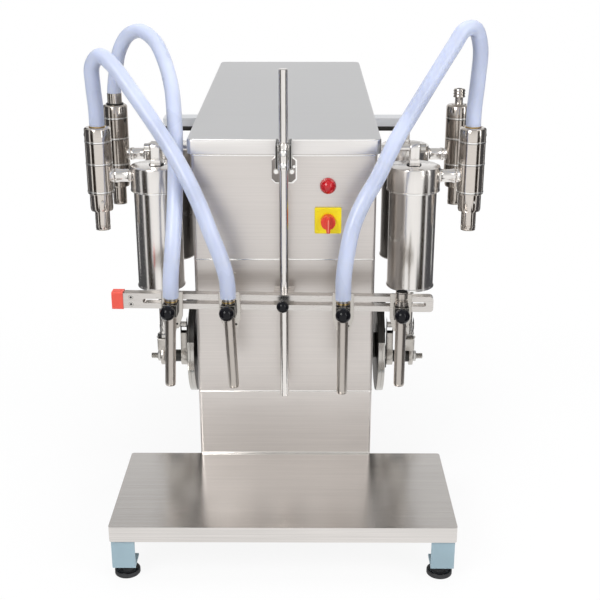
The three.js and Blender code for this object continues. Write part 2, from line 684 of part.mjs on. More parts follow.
function connectingRod(sign) {
  const span = (a, b) => [Math.min(sign * a, sign * b), Math.max(sign * a, sign * b)];
  const studEnd = outerLinkOuter + link.studLength;
  const plates = join(
    linkPlate(span(linkInner, linkInner + link.thickness)),
    linkPlate(span(outerLinkInner, outerLinkOuter)),
    alongX(link.studRadius, span(linkInner, studEnd), crankY, studZ, smallSides),
    alongX(link.nutRadius, span(outerLinkOuter, outerLinkOuter + link.nutHeight), crankY, studZ, hexSides),
  );
  const pinHole = span(linkInner - overrun, outerLinkOuter + overrun);
  return cut(plates, alongX(crosshead.pinRadius + gap, pinHole, crankY, crossPinZ, midSides));
}

// Crosshead: a bar under both piston rods of a side, with the cross pin of the connecting rod
function crossheadBar(sign) {
  const span = (a, b) => [Math.min(sign * a, sign * b), Math.max(sign * a, sign * b)];
  const { width, height, endLength, pinRadius } = crosshead;
  const [front, back] = [cylinder.frontY - endLength, cylinder.frontY + cylinder.spacing + endLength];
  const level = [crossPinZ - height / 2, crossPinZ + height / 2];
  const seat = [level[1] - pistonRod.seat, level[1] + overrun];
  const bar = join(
    block(span(cylinderX - width / 2, cylinderX + width / 2), [front, back], level),
    alongX(pinRadius, span(linkInner + gap, outerLinkOuter), crankY, crossPinZ, smallSides),
  );
  const rodHole = (y) => alongZ(pistonRod.radius + gap, seat, sign * cylinderX, y, midSides);
  return cut(bar, ...rows.map(({ y }) => rodHole(y)));
}

function pistonAndRod(sign, y) {
  const x = sign * cylinderX;
  const barTop = crossPinZ + crosshead.height / 2;
  const radius = cylinder.radius - cylinder.wall - piston.clearance;
  const base = cylinderBottom + piston.lift;
  const groove = radius - piston.grooveDepth;
  const profile = [[0, base], [radius, base]];
  const sealBottom = base + piston.landHeight;
  const sealTop = sealBottom + piston.grooveHeight;
  profile.push([radius, sealBottom], [groove, sealBottom], [groove, sealTop], [radius, sealTop]);
  profile.push([radius, base + piston.height], [0, base + piston.height]);
  return join(
    turned(profile, x, y, fineSides),
    alongZ(pistonRod.radius, [barTop - pistonRod.seat + gap, base + piston.height / 2], x, y, midSides),
    alongZ(pistonRod.nutRadius, [barTop + gap, barTop + gap + pistonRod.nutHeight], x, y, hexSides),
  );
}

// Gearbox and motor on the deck
function gearboxCase() {
  const { width, depth, height, cornerRadius, motorFlangeRadius, motorFlange } = gearbox;
  const outline = roundedRectangle(depth, height, cornerRadius, crankY, crankZ);
  const back = crankY + depth / 2;
  return cut(
    join(
      sideward(outline, [-width / 2, width / 2]),
      alongY(motorFlangeRadius - motor.raise, [back - overrun, back + motorFlange],
        0, crankZ + motor.raise, fineSides),
    ),
    alongX(driveShaft.radius + gap, [-width, width], crankY, crankZ, midSides),
  );
}

function motorBody() {
  const { radius, length, cowlRadius, cowlLength, raise, boxWidth, boxLength, boxHeight } = motor;
  const z = crankZ + raise;
  const front = crankY + gearbox.depth / 2 + gearbox.motorFlange + gap;
  const back = front + length;
  const boxFront = front + (length - boxLength) / 2;
  return join(
    alongY(radius, [front, back], 0, z, fineSides),
    alongY(cowlRadius, [back - cowlLength, back], 0, z, fineSides),
    block([-boxWidth / 2, boxWidth / 2], [boxFront, boxFront + boxLength], [z, z + radius + boxHeight]),
    block([-radius, radius], [boxFront, boxFront + boxLength], [crankZ - gearbox.height / 2, z - radius / 2]),
  );
}

// Vertical rod, clamp bracket and rail; the rail's own frame has its origin on the rod's axis
const rodY = -rod.standOff;

function rodClampBracket() {
  const { chamfer, thickness } = clampPlate;
  const half = clampPlate.width / 2;
  const low = platform.top + clampPlate.bottomHeight;
  const high = low + clampPlate.height;
  const outline = polygon([
    [-half + chamfer, low], [half - chamfer, low], [half, low + chamfer], [half, high - chamfer],
    [half - chamfer, high], [-half + chamfer, high], [-half, high - chamfer], [-half, low + chamfer],
  ]);
  const s = clampSleeve;
  const [z0, z1] = [low + s.rise, low + s.rise + s.height];
  const [front, back] = [rodY - s.front, rodY + s.back];
  const slot = (x) => block(
    [x - s.slotWidth / 2, x + s.slotWidth / 2], [front - overrun, rodY], [z0 + s.slotEnd, z1 - s.slotEnd]);
  const slotX = s.innerWidth / 2 - s.slotWidth / 2;
  const screws = [z0 + s.screwRise, z0 + s.screwRise + s.screwPitch].map(
    (z) => alongY(s.screwHeadRadius, [front - s.screwHeadHeight, front + overrun], 0, z, smallSides));
  const sleeve = cut(
    block([-s.width / 2, s.width / 2], [front, back], [z0, z1]),
    block([-s.innerWidth / 2, s.innerWidth / 2], [front + s.frontWall, rodY], [z0 - overrun, z1 + overrun]),
    slot(-slotX),
    slot(slotX),
  );
  const backing = frontward(outline, [-gap - thickness, -gap]);
  const plateBridge = block(
    [-s.width / 2, s.width / 2], [back - overrun, -gap - thickness / 2], [z0, high - chamfer]);
  const bore = alongZ(rod.radius + rod.clearance, [low - overrun, z1 + overrun], 0, rodY, midSides);
  return cut(join(sleeve, backing, plateBridge, ...screws), bore);
}

const railFront = -(rail.standOff + rail.depth);
const railBottom = platform.top + rail.bottomHeight;
const railTop = railBottom + rail.height;
const slotZ = railBottom + rail.height / 2;
const knobZ = slotZ - holder.knobDrop;
const blockTop = slotZ + holder.blockRise;

function nozzleRail() {
  const { left, right, endRadius, slotHeight, slotLeft, slotRight, slotFlat } = rail;
  const { bossWidth, bossBack, standOff } = rail;
  const level = [railBottom, railTop];
  const middleZ = (railBottom + railTop) / 2;
  const bar = roundedRectangle(right - left, rail.height, endRadius, (left + right) / 2, middleZ);
  const square = block([left, left + 2 * endRadius], [railFront, -standOff], level);
  const slot = roundedRectangle(
    slotRight - slotLeft, slotHeight, slotHeight / 2 - slotFlat, (slotLeft + slotRight) / 2, slotZ);
  const boss = block([-bossWidth / 2, bossWidth / 2], [-standOff - gap, bossBack], level);
  return cut(
    join(frontward(bar, [railFront, -standOff]), square, boss),
    frontward(slot, [railFront - overrun, -standOff]),
    alongZ(rod.radius + rod.clearance, [railBottom - overrun, railTop + overrun], 0, 0, midSides),
    alongY(ballKnob.screwRadius + ballKnob.screwClearance, [-standOff - overrun, 0], 0, slotZ, smallSides),
  );
}

function railEndCap() {
  const { length, wall, overlap, edge } = endCap;
  const end = rail.left - gap - length + overlap;
  const outline = roundedRectangle(rail.depth + 2 * wall + 2 * gap, rail.height + 2 * wall + 2 * gap, edge,
    railFront + rail.depth / 2, slotZ);
  const inner = block(
    [rail.left - gap, rail.left + overlap + overrun],
    [railFront - gap, -rail.standOff + gap], [railBottom - gap, railTop + gap]);
  return cut(sideward(outline, [end, rail.left + overlap]), inner);
}

// Each holder may lean about its own clamp bolt; its pieces are drawn upright and turned together
function leaningGroup({ along, lean }) {
  const upright = new THREE.Group();
  const leaning = new THREE.Group();
  upright.position.z = -slotZ;
  leaning.position.set(along, 0, slotZ);
  leaning.rotation.y = THREE.MathUtils.degToRad(lean);
  railGroup.add(leaning.add(upright));
  return upright;
}

function nozzleHolder() {
  const h = holder;
  const [top, shoulder, bottom] = [slotZ + h.topRise, slotZ - h.shoulderDrop, slotZ - h.footDrop];
  const half = h.width / 2;
  const footHalf = h.footWidth / 2;
  const outline = polygon([
    [-footHalf, bottom], [footHalf, bottom], [half, shoulder],
    [half, top], [-half, top], [-half, shoulder],
  ]);
  const face = railFront - gap;
  const plateFront = face - h.plate;
  const backFront = -rail.standOff + gap;
  const clampLevel = [slotZ - h.blockDrop, blockTop];
  const boreLevel = [slotZ - h.blockDrop - overrun, blockTop + overrun];
  const screwHole = ballKnob.screwRadius + ballKnob.screwClearance;
  return cut(
    join(
      frontward(outline, [plateFront, face]),
      block([-h.blockWidth / 2, h.blockWidth / 2], [-h.blockFront, plateFront + gap], clampLevel),
      alongY(h.boltRadius, [face - gap, backFront + gap], 0, slotZ, smallSides),
      block([-h.backPlateWidth / 2, h.backPlateWidth / 2], [backFront, backFront + h.backPlate],
        [slotZ - h.backPlateHeight / 2, slotZ + h.backPlateHeight / 2]),
    ),
    alongZ(nozzle.radius + nozzle.clearance, boreLevel, 0, -nozzle.axis),
    alongY(screwHole, [-h.blockFront - overrun, -nozzle.axis], 0, knobZ, smallSides),
  );
}

function nozzleTube({ tipHeight, socket }) {
  const { radius, boreRadius, collarRadius, collarHeight } = nozzle;
  const { neckRadius, neckHeight, rimRadius, rimHeight } = nozzle;
  const tip = platform.top + tipHeight;
  const seat = blockTop + gap;
  const collarTop = seat + collarHeight;
  const profile = [
    [boreRadius, tip], [radius, tip], [radius, seat], [collarRadius, seat], [collarRadius, collarTop],
  ];
  if (socket) {
    const rimBottom = collarTop + neckHeight;
    profile.push([neckRadius, collarTop], [neckRadius, rimBottom]);
    const rimTop = rimBottom + rimHeight;
    profile.push([rimRadius, rimBottom], [rimRadius, rimTop], [boreRadius, rimTop]);
  } else {
    profile.push([boreRadius, collarTop]);
  }
  profile.push([boreRadius, tip]);
  return solid(turned(profile, 0, -nozzle.axis, midSides));
}

// A ball knob on a screw that runs along Y; face is where its neck meets the clamped piece
function knob({ radius, neckLength }, x, face, tip, z) {
  const { neckRadius, screwRadius } = ballKnob;
  const centre = face - gap - neckLength - radius;
  const ball = new THREE.SphereGeometry(radius, smallSides, ballRings).translate(x, centre, z);
  return join(
    ball,
    alongY(neckRadius, [centre, face - gap], x, z, smallSides),
    alongY(screwRadius, [centre, tip], x, z, smallSides),
  );
}

// Pilot lamp and main switch
function pilotLamp() {
  const z = lampZ;
  const face = -gap - lamp.bezel;
  const reach = 2 * lamp.bezelRadius;
  const dome = new THREE.SphereGeometry(lamp.domeRadius, smallSides, ballRings).translate(lamp.x, face, z);
  const behind = block(
    [lamp.x - reach, lamp.x + reach], [face + lamp.bezel / 2, reach], [z - reach, z + reach]);
  return join(
    cut(dome, behind),
    alongY(lamp.bezelRadius, [face, -gap], lamp.x, z, midSides),
    alongY(lamp.bodyRadius, [face, lamp.bodyLength], lamp.x, z, midSides),
  );
}

function mainSwitchBody() {
  const { x, plate, plateThickness, neckRadius, bodySize, bodyLength } = mainSwitch;
  const inside = cabinet.wall + gap;
  const half = bodySize / 2;
  const outline = roundedRectangle(plate, plate, plateThickness, x, switchZ);
  return join(
    frontward(outline, [-gap - plateThickness, -gap]),
    alongY(neckRadius, [-gap - plateThickness / 2, inside + overrun], x, switchZ, midSides),
    block([x - half, x + half], [inside, inside + bodyLength], [switchZ - half, switchZ + half]),
  );
}

function mainSwitchKnob() {
  const { x, plateThickness, knobRadius, knobHeight } = mainSwitch;
  const { handleLength, handleWidth, handleHeight, handleDrop } = mainSwitch;
  const base = -gap - plateThickness - gap;
  const front = base - knobHeight;
  const centreZ = switchZ - handleDrop;
  return join(
    alongY(knobRadius, [front, base], x, switchZ, midSides),
    block([x - handleWidth / 2, x + handleWidth / 2], [front - handleHeight, base - knobHeight / 2],
      [centreZ - handleLength / 2, centreZ + handleLength / 2]),
  );
}

// Hose routes: centre points chosen by hand from the valve's top to the nozzle's top
const hoseRoutes = {
  hose_front_left: [
    [-348, 110, 720.3], [-348, 110, 752], [-350.5, 110, 796], [-349, 105, 832],
    [-332, 94, 851], [-310, 80, 839],
    [-265, 44, 788], [-217, 5, 728], [-180, -31, 678], [-149, -57, 622], [-127, -76, 571], [-108, -88, 524],
    [-98.8, -92.6, 488], [-97.5, -92.6, 456.6],
  ],
  hose_rear_left: [
    [-348, 310, 730.3], [-348, 310, 756], [-342, 308, 796], [-331, 301, 838],
    [-311, 291, 868], [-284, 275, 878],
    [-255, 250, 863], [-234, 212, 836], [-213, 150, 793], [-199, 70, 736], [-193, 10, 679], [-191, -42, 607],
    [-193.5, -74, 543], [-197.2, -89.1, 490], [-198.6, -89.1, 456.6],
  ],
  hose_front_right: [
    [348, 110, 720.3], [348, 110, 752], [352, 111, 806], [352.5, 107, 866], [340, 99, 898], [320, 87, 897],
    [299, 70, 870], [264, 43, 820], [229, 12, 770], [195, -19, 720], [161, -49, 658], [138, -66, 622],
    [120, -80, 582], [109, -93, 532], [104.2, -99.7, 492], [104.2, -99.7, 456.6],
  ],
};

function hoseTube(points) {
  const stops = points.map((point) => new THREE.Vector3(...point));
  const path = new THREE.CatmullRomCurve3(stops, false, 'centripetal');
  const outline = new THREE.Shape();
  outline.absarc(0, 0, hose.radius, 0, 2 * Math.PI);
  return new THREE.ExtrudeGeometry(outline, {
    steps: hose.steps, bevelEnabled: false, extrudePath: path, curveSegments: hose.halfSides,
  });
}

// Assembly

place('base_frame', baseFrame(), paintedFrame);
for (const { name, x, y } of footPlaces) place(`levelling_foot_${name}`, levellingFoot(x, y), blackRubber);
place('platform_plate', platformPlate(), polished);
place('lower_cabinet', lowerCabinet(), brushed);
place('middle_cabinet', middleCabinet(), brushed);
place('upper_cabinet', upperCabinet(), brushed);
place('lid', lidNode(), brushed);
place('hanger_shaft', hangerShaft(), turnedSteel);
place('rear_hanger_beam', rearHangerBeam(), brushed);
place('gearbox', gearboxCase(), gearPaint);
place('motor', motorBody(), gearPaint);
place('crank_shaft', alongX(driveShaft.radius, [-discInner - disc.shaftSeat, discInner + disc.shaftSeat],
  crankY, crankZ, midSides), turnedSteel);

for (const { side, sign } of sides) {
  place(`shaft_bearing_${side}`, shaftBearing(sign), darkSteel);
  place(`crank_disc_${side}`, crankDisc(sign), polished);
  place(`stroke_adjuster_${side}`, strokeAdjuster(sign), darkSteel);
  place(`connecting_rod_${side}`, connectingRod(sign), turnedSteel);
  place(`crosshead_${side}`, crossheadBar(sign), turnedSteel);
  for (const { row, y } of rows) {
    place(`piston_rod_${row}_${side}`, pistonAndRod(sign, y), turnedSteel);
    place(`cylinder_barrel_${row}_${side}`, barrel(sign * cylinderX, y), polished);
    place(`cylinder_head_${row}_${side}`, cylinderHead(sign, row, y), polished);
  }
}

place('rod_clamp_bracket', rodClampBracket(), turnedSteel);
place('pilot_lamp', pilotLamp(), redLens);
place('main_switch_body', mainSwitchBody(), yellowPlastic);
place('main_switch_knob', mainSwitchKnob(), redPlastic);
for (const [name, points] of Object.entries(hoseRoutes)) place(name, hoseTube(points), silicone);

railGroup.position.set(0, rodY, 0);
railGroup.rotation.z = THREE.MathUtils.degToRad(rail.turn);
machine.add(railGroup);
const rodSpan = [platform.top + rod.bottomHeight, platform.top + rod.topHeight];
place('rail_rod', alongZ(rod.radius, rodSpan, 0, 0, midSides), polished, railGroup);
place('nozzle_rail', nozzleRail(), brushed, railGroup);
place('rail_end_cap', railEndCap(), redPlastic, railGroup);
place('rail_knob', knob(railKnob, 0, railFront, -rod.radius - gap, slotZ), blackPlastic, railGroup);
for (const spot of nozzlePlaces) {
  const head = leaningGroup(spot);
  const screwTip = -nozzle.axis - nozzle.radius - ballKnob.screwBackOff;
  place(`nozzle_holder_${spot.name}`, nozzleHolder(), brushed, head);
  place(`nozzle_tube_${spot.name}`, nozzleTube(spot), polished, head);
  const clampKnob = knob(ballKnob, 0, -holder.blockFront, screwTip, knobZ);
  place(`nozzle_knob_${spot.name}`, clampKnob, blackPlastic, head);
}

machine.position.y = (platform.depth - hingeY - hinge.radius) / 2;

export default machine;
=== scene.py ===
import bmesh
import bpy
import json
import math
from mathutils import Matrix, Vector

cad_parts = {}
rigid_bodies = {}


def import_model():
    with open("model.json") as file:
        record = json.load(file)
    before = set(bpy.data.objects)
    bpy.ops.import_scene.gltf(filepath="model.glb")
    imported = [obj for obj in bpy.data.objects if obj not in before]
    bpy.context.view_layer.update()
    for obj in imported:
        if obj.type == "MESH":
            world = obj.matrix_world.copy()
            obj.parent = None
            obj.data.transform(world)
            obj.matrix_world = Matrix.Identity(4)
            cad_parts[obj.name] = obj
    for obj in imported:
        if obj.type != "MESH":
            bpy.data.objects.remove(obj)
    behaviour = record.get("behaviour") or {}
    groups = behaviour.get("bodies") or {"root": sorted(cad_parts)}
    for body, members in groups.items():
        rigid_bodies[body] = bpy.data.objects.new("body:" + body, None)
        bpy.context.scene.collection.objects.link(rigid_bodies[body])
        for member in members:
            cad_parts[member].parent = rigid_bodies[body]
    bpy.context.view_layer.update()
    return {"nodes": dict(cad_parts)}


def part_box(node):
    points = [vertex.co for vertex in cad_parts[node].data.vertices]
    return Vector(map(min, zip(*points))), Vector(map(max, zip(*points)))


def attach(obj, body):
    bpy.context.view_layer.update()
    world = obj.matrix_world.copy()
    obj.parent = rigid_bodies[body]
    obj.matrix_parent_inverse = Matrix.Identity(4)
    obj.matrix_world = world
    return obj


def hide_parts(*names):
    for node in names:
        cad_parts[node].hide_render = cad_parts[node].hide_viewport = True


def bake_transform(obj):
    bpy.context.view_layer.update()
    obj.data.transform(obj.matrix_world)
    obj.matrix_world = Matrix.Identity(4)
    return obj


for left_over in list(bpy.data.objects):
    bpy.data.objects.remove(left_over)
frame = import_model()

# Places in millimetres: X to the right, Y backwards, Z up from the floor
MM = 0.001
FRONT = -289.5
CABINET_DEPTH = 830
CABINET_HALF = 165
SIDES = {"left": -1, "right": 1}
ROWS = {"front": -179.5, "rear": 20.5}
CYLINDER_X = 241
VALVE_X = 348
BARREL_BOTTOM, BARREL_TOP = 412.5, 628.7
PISTON_Z = 418.5
CAP_BOTTOM, CAP_TOP = 602, 649
EYE_Z = CAP_TOP + 32
VALVE_TOPS = {"front": 720, "rear": 730}
CRANK_Y, CRANK_Z = -79.5, 247
STUD_Z, CROSS_PIN_Z = 222, 292
ROD_Y, SLOT_Z = -334.5, 441
RAIL_TURN = math.radians(-2)
UP = (0, 0, 1)
RIGHT = (1, 0, 0)
FORWARD = (0, -1, 0)
BACKWARD = (0, 1, 0)


def side_span(sign, near, far):
    """From the nearer to the farther X of one side, lowest first."""
    return min(sign * near, sign * far), max(sign * near, sign * far)


def add_object(name, data):
    made = bpy.data.objects.new(name, data)
    bpy.context.scene.collection.objects.link(made)
    return made


# Camera at the photograph's viewing angle
CAMERA_PLACE = (0.0362, -2.1359, 1.0734)
CAMERA_DOWN = 19.495
CAMERA_TURN = 0.248
CAMERA_LENS = 63.66


def make_camera():
    lens = bpy.data.cameras.new("camera")
    lens.lens = CAMERA_LENS
    lens.sensor_width = 36
    lens.clip_end = 100
    camera = add_object("camera", lens)
    camera.location = CAMERA_PLACE
    camera.rotation_euler = (math.radians(90 - CAMERA_DOWN), 0, math.radians(CAMERA_TURN))
    bpy.context.scene.camera = camera


make_camera()


# Materials
def add_node(tree, kind, values=(), feeds=(), **settings):
    """A new node with its settings, its inputs' values, and the outputs that feed its inputs."""
    node = tree.nodes.new("ShaderNode" + kind)
    for name, setting in settings.items():
        setattr(node, name, setting)
    for socket, value in dict(values).items():
        node.inputs[socket].default_value = value
    for socket, output in dict(feeds).items():
        tree.links.new(output, node.inputs[socket])
    return node


def joined(tree, operation, first, second):
    """Two outputs joined by one step of arithmetic."""
    return add_node(tree, "Math", feeds={0: first, 1: second}, operation=operation).outputs[0]


def empty_material(name):
    material = bpy.data.materials.new(name)
    material.use_nodes = True
    material.node_tree.nodes.clear()
    return material


# The middle part of a noise's values, spread over the whole range of a colour or roughness
NOISE_LOW, NOISE_HIGH = 0.3, 0.7


class Paint:
    """A node material round one principled shader."""

    def __init__(self, name, colour, roughness, metallic=0.0):
        self.material = bpy.data.materials.new(name)
        self.material.use_nodes = True
        self.tree = self.material.node_tree
        self.shader = self.tree.nodes["Principled BSDF"]
        self.colour = colour
        self.set({"Base Color": (*colour, 1), "Roughness": roughness, "Metallic": metallic})
        self.coords = add_node(self.tree, "TexCoord")

    def set(self, values):
        for socket, value in values.items():
            self.shader.inputs[socket].default_value = value

    def feed(self, socket, output):
        self.tree.links.new(output, self.shader.inputs[socket])

    def noise(self, scale, detail):
        mapping = add_node(self.tree, "Mapping", {"Scale": scale}, {"Vector": self.coords.outputs["Object"]})
        texture = add_node(self.tree, "TexNoise", {"Scale": 1.0, "Detail": detail},
                           {"Vector": mapping.outputs["Vector"]})
        return texture.outputs["Fac"]

    def tint(self, value, dark, light):
        """Base colour from dark to light of itself, by a noise."""
        colours = add_node(self.tree, "ValToRGB", feeds={"Fac": value})
        stops = colours.color_ramp.elements
        stops[0].position, stops[1].position = NOISE_LOW, NOISE_HIGH
        stops[0].color = (*[c * dark for c in self.colour], 1)
        stops[1].color = (*[min(1, c * light) for c in self.colour], 1)
        self.feed("Base Color", colours.outputs["Color"])

    def rough(self, value, low, high):
        """Roughness from low to high, by a noise."""
        levels = {"From Min": NOISE_LOW, "From Max": NOISE_HIGH, "To Min": low, "To Max": high}
        self.feed("Roughness", add_node(self.tree, "MapRange", levels, {"Value": value}).outputs["Result"])

    def bump(self, value, distance):
        bump = add_node(self.tree, "Bump", {"Distance": distance, "Strength": 1.0}, {"Height": value})
        self.feed("Normal", bump.outputs["Normal"])


def steel(name, colour, roughness, grain, relief=0.00004, contrast=0.05):
    """Stainless steel: fine grain stretched along the brushing, with broad faint smears."""
    paint = Paint(name, colour, roughness, metallic=1.0)
    fine, broad = paint.noise(grain, detail=4), paint.noise((5, 5, 5), detail=2)
    smears = add_node(paint.tree, "Math", {1: 0.4}, {0: broad}, operation="MULTIPLY")
    both = add_node(paint.tree, "Math", {1: 0.6}, {0: fine, 2: smears.outputs[0]}, operation="MULTIPLY_ADD")
    mixed = both.outputs[0]
    paint.tint(mixed, 1 - contrast, 1 + contrast)
    paint.rough(mixed, roughness * 0.85, roughness * 1.15)
    paint.bump(fine, relief)
    return paint.material


def moulded(name, colour, roughness, grain=900, relief=0.00003):
    """Moulded plastic, paint or rubber: slight mottling and a fine surface texture."""
    paint = Paint(name, colour, roughness)
    paint.tint(paint.noise((14, 14, 14), detail=2), 0.93, 1.06)
    texture = paint.noise((grain, grain, grain), detail=2)
    paint.rough(texture, roughness * 0.9, roughness * 1.1)
    paint.bump(texture, relief)
    return paint.material


SHEET = steel("sheet_brushed", (0.68, 0.64, 0.61), 0.34, (5, 5, 500), contrast=0.06)
# A lighter copy of the brushed sheet for the lower cabinet: painted light
LOWER_CABINET_LIGHT_SHEET = steel("lower_cabinet_painted_light", (0.80, 0.76, 0.73), 0.34, (5, 5, 500), contrast=0.06)
LID_SHEET = steel("lid_brushed", (0.70, 0.70, 0.705), 0.36, (4, 380, 380), contrast=0.055)
# A lighter copy of the brushed sheet for the lid's front lip: painted light
LIP_LIGHT_SHEET = steel("lip_painted_light", (0.80, 0.775, 0.755), 0.34, (5, 500, 500))
# A brighter copy of the steel for folded edges, joint rings, nuts and screw domes: painted highlight
HIGHLIGHT_STEEL = steel("painted_highlight_steel", (0.97, 0.955, 0.93), 0.24, (40, 40, 600), 0.00001)
PLATFORM_SHEET = steel("platform_brushed", (0.70, 0.67, 0.645), 0.2, (4, 420, 420), 0.00006, contrast=0.1)
POLISHED = steel("polished_turned", (0.84, 0.81, 0.78), 0.2, (90, 90, 6), 0.00001)
# A darker copy of the polished steel for the rear barrels: painted shade
REAR_SHADE_STEEL = steel("rear_painted_shade_turned", (0.27, 0.26, 0.25), 0.2, (90, 90, 6), 0.00001)
BEAM_STEEL = steel("beam_drawn", (0.78, 0.80, 0.83), 0.3, (7, 900, 900))
VALVE_STEEL = steel("valve_turned", (0.68, 0.63, 0.58), 0.14, (60, 60, 1600), 0.00001)
# A darker copy of the valve steel for the rear chambers: painted shade
REAR_VALVE_SHADE_STEEL = steel("rear_valve_painted_shade", (0.50, 0.455, 0.41), 0.14, (60, 60, 1600), 0.00001)
ROD_STEEL = steel("rod_ground", (0.80, 0.77, 0.74), 0.16, (300, 300, 30), 0.00001)
NOZZLE_STEEL = steel("nozzle_drawn", (0.52, 0.48, 0.44), 0.3, (500, 500, 12), 0.00001)
PLATE_STEEL = steel("clamp_plate", (0.24, 0.22, 0.205), 0.36, (900, 900, 900), 0.00006)
RAIL_STEEL = steel("rail_brushed", (0.66, 0.63, 0.60), 0.28, (12, 500, 500), contrast=0.09)
MACHINED = steel("machined_steel", (0.56, 0.53, 0.49), 0.3, (200, 200, 900), 0.00002)
DISC_STEEL = steel("disc_turned", (0.55, 0.53, 0.50), 0.22, (500, 90, 90), 0.00002)
FASTENER = steel("fastener_steel", (0.60, 0.58, 0.55), 0.22, (400, 400, 400), 0.00001)
BLACKENED = steel("blackened_iron", (0.055, 0.053, 0.05), 0.4, (300, 300, 300), 0.00003)
FRAME_PAINT = moulded("frame_paint", (0.33, 0.45, 0.51), 0.45, 700, 0.00006)
GEAR_PAINT = moulded("gear_paint", (0.10, 0.14, 0.18), 0.45, 600, 0.00006)
RUBBER = moulded("black_rubber", (0.022, 0.022, 0.024), 0.6, 700, 0.00006)
RED_PLASTIC = moulded("red_plastic", (0.80, 0.055, 0.03), 0.32, 600)
# A lighter red for the stripe down the switch grip: painted highlight
GRIP_HIGHLIGHT_RED = moulded("grip_painted_highlight", (0.95, 0.30, 0.22), 0.35, 500, 0.00002)
CAP_RED = moulded("cap_red", (0.86, 0.10, 0.065), 0.4, 500, 0.00004)
YELLOW_PLASTIC = moulded("yellow_plastic", (1.0, 0.80, 0.006), 0.5, 700, 0.00002)
BRASS = steel("brass", (0.62, 0.44, 0.18), 0.3, (200, 200, 500), 0.00001)
# Near-black for the floors of holes and sockets: painted shade
HOLE_SHADE = moulded("painted_hole_shade", (0.012, 0.012, 0.012), 0.8)
WASHER_BLACK = moulded("washer_black", (0.02, 0.02, 0.02), 0.5)


def smooth(name, colour, roughness, grain, detail, shades, gloss=None, **sockets):
    """Smooth plastic with faint mottling; shades and gloss each hold a lower and an upper value."""
    paint = Paint(name, colour, roughness)
    mottling = paint.noise(grain, detail)
    paint.tint(mottling, *shades)
    if gloss:
        paint.rough(mottling, *gloss)
    paint.set({socket.replace("_", " "): value for socket, value in sockets.items()})
    return paint.material


LENS_RED = smooth("lens_red", (0.56, 0.006, 0.014), 0.14, (60, 60, 60), 1, (0.9, 1.1),
                  Coat_Weight=0.25, Coat_Roughness=0.05)
BLACK_PLASTIC = smooth("ball_black", (0.005, 0.005, 0.007), 0.13, (300, 300, 300), 2, (0.8, 1.2),
                       (0.11, 0.15), Specular_IOR_Level=0.22)
# Milky silicone with a satin skin
SILICONE = smooth("hose_silicone", (0.57, 0.62, 0.79), 0.3, (15, 15, 9), 1, (0.85, 1.06), (0.24, 0.34),
                  Subsurface_Weight=0.35, Subsurface_Radius=(0.6, 0.7, 1.0), Subsurface_Scale=0.008,
                  IOR=1.41, Coat_Weight=0.3, Coat_Roughness=0.14)


# Building pieces from several solids, in millimetres
SHARP_ANGLE = math.radians(38)
CRISP_ANGLE = math.radians(30)
HOSE_SHARP_ANGLE = math.radians(60)
SHEET_SHARP_ANGLE = math.radians(50)


def smooth_with_sharp_edges(mesh, angle):
    mesh.shade_smooth()
    mesh.set_sharp_from_angle(angle=angle)


def make_piece(name, mesh, materials, angle=SHARP_ANGLE):
    """The object of a mesh whose corners are in millimetres."""
    bmesh.ops.recalc_face_normals(mesh, faces=mesh.faces)
    mesh.transform(Matrix.Scale(MM, 4))
    data = bpy.data.meshes.new(name)
    mesh.to_mesh(data)
    mesh.free()
    for material in materials:
        data.materials.append(material)
    smooth_with_sharp_edges(data, angle)
    return add_object(name, data)


def circle(radius, count, start=0.0, end=2 * math.pi):
    """The corners of an arc, from its start to its end."""
    return [(radius * math.cos(start + (end - start) * k / count),
             radius * math.sin(start + (end - start) * k / count)) for k in range(count + 1)]


CORNERS = ((-1, 1), (1, 1), (-1, -1), (1, -1))


def bridge(mesh, rings):
    """Faces from each ring of corners to the next, and from the last to the first; a pole has one corner."""
    faces = []
    for low, high in zip(rings, rings[1:] + rings[:1]):
        count = max(len(low), len(high))
        if count == 1:
            continue
        for step in range(count):
            after = (step + 1) % count
            if len(low) == 1:
                corners = (low[0], high[after], high[step])
            elif len(high) == 1:
                corners = (low[step], low[after], high[0])
            else:
                corners = (low[step], low[after], high[after], high[step])
            faces.append(mesh.faces.new(corners))
    return faces


def rounded_square(half, radius, count):
    """The outline of a square with round corners."""
    outline = []
    inner = half - radius
    for quarter, (a, u) in enumerate(((inner, inner), (-inner, inner), (-inner, -inner), (inner, -inner))):
        start = quarter * math.pi / 2
        outline += [(a + across, u + up) for across, up in circle(radius, count, start, start + math.pi / 2)]
    return outline


def mirrored(right):
    """A symmetric outline from its right half, which goes up; it starts at the left's foot."""
    left = [(-a, u) for a, u in right]
    return left[:1] + right + left[:0:-1]


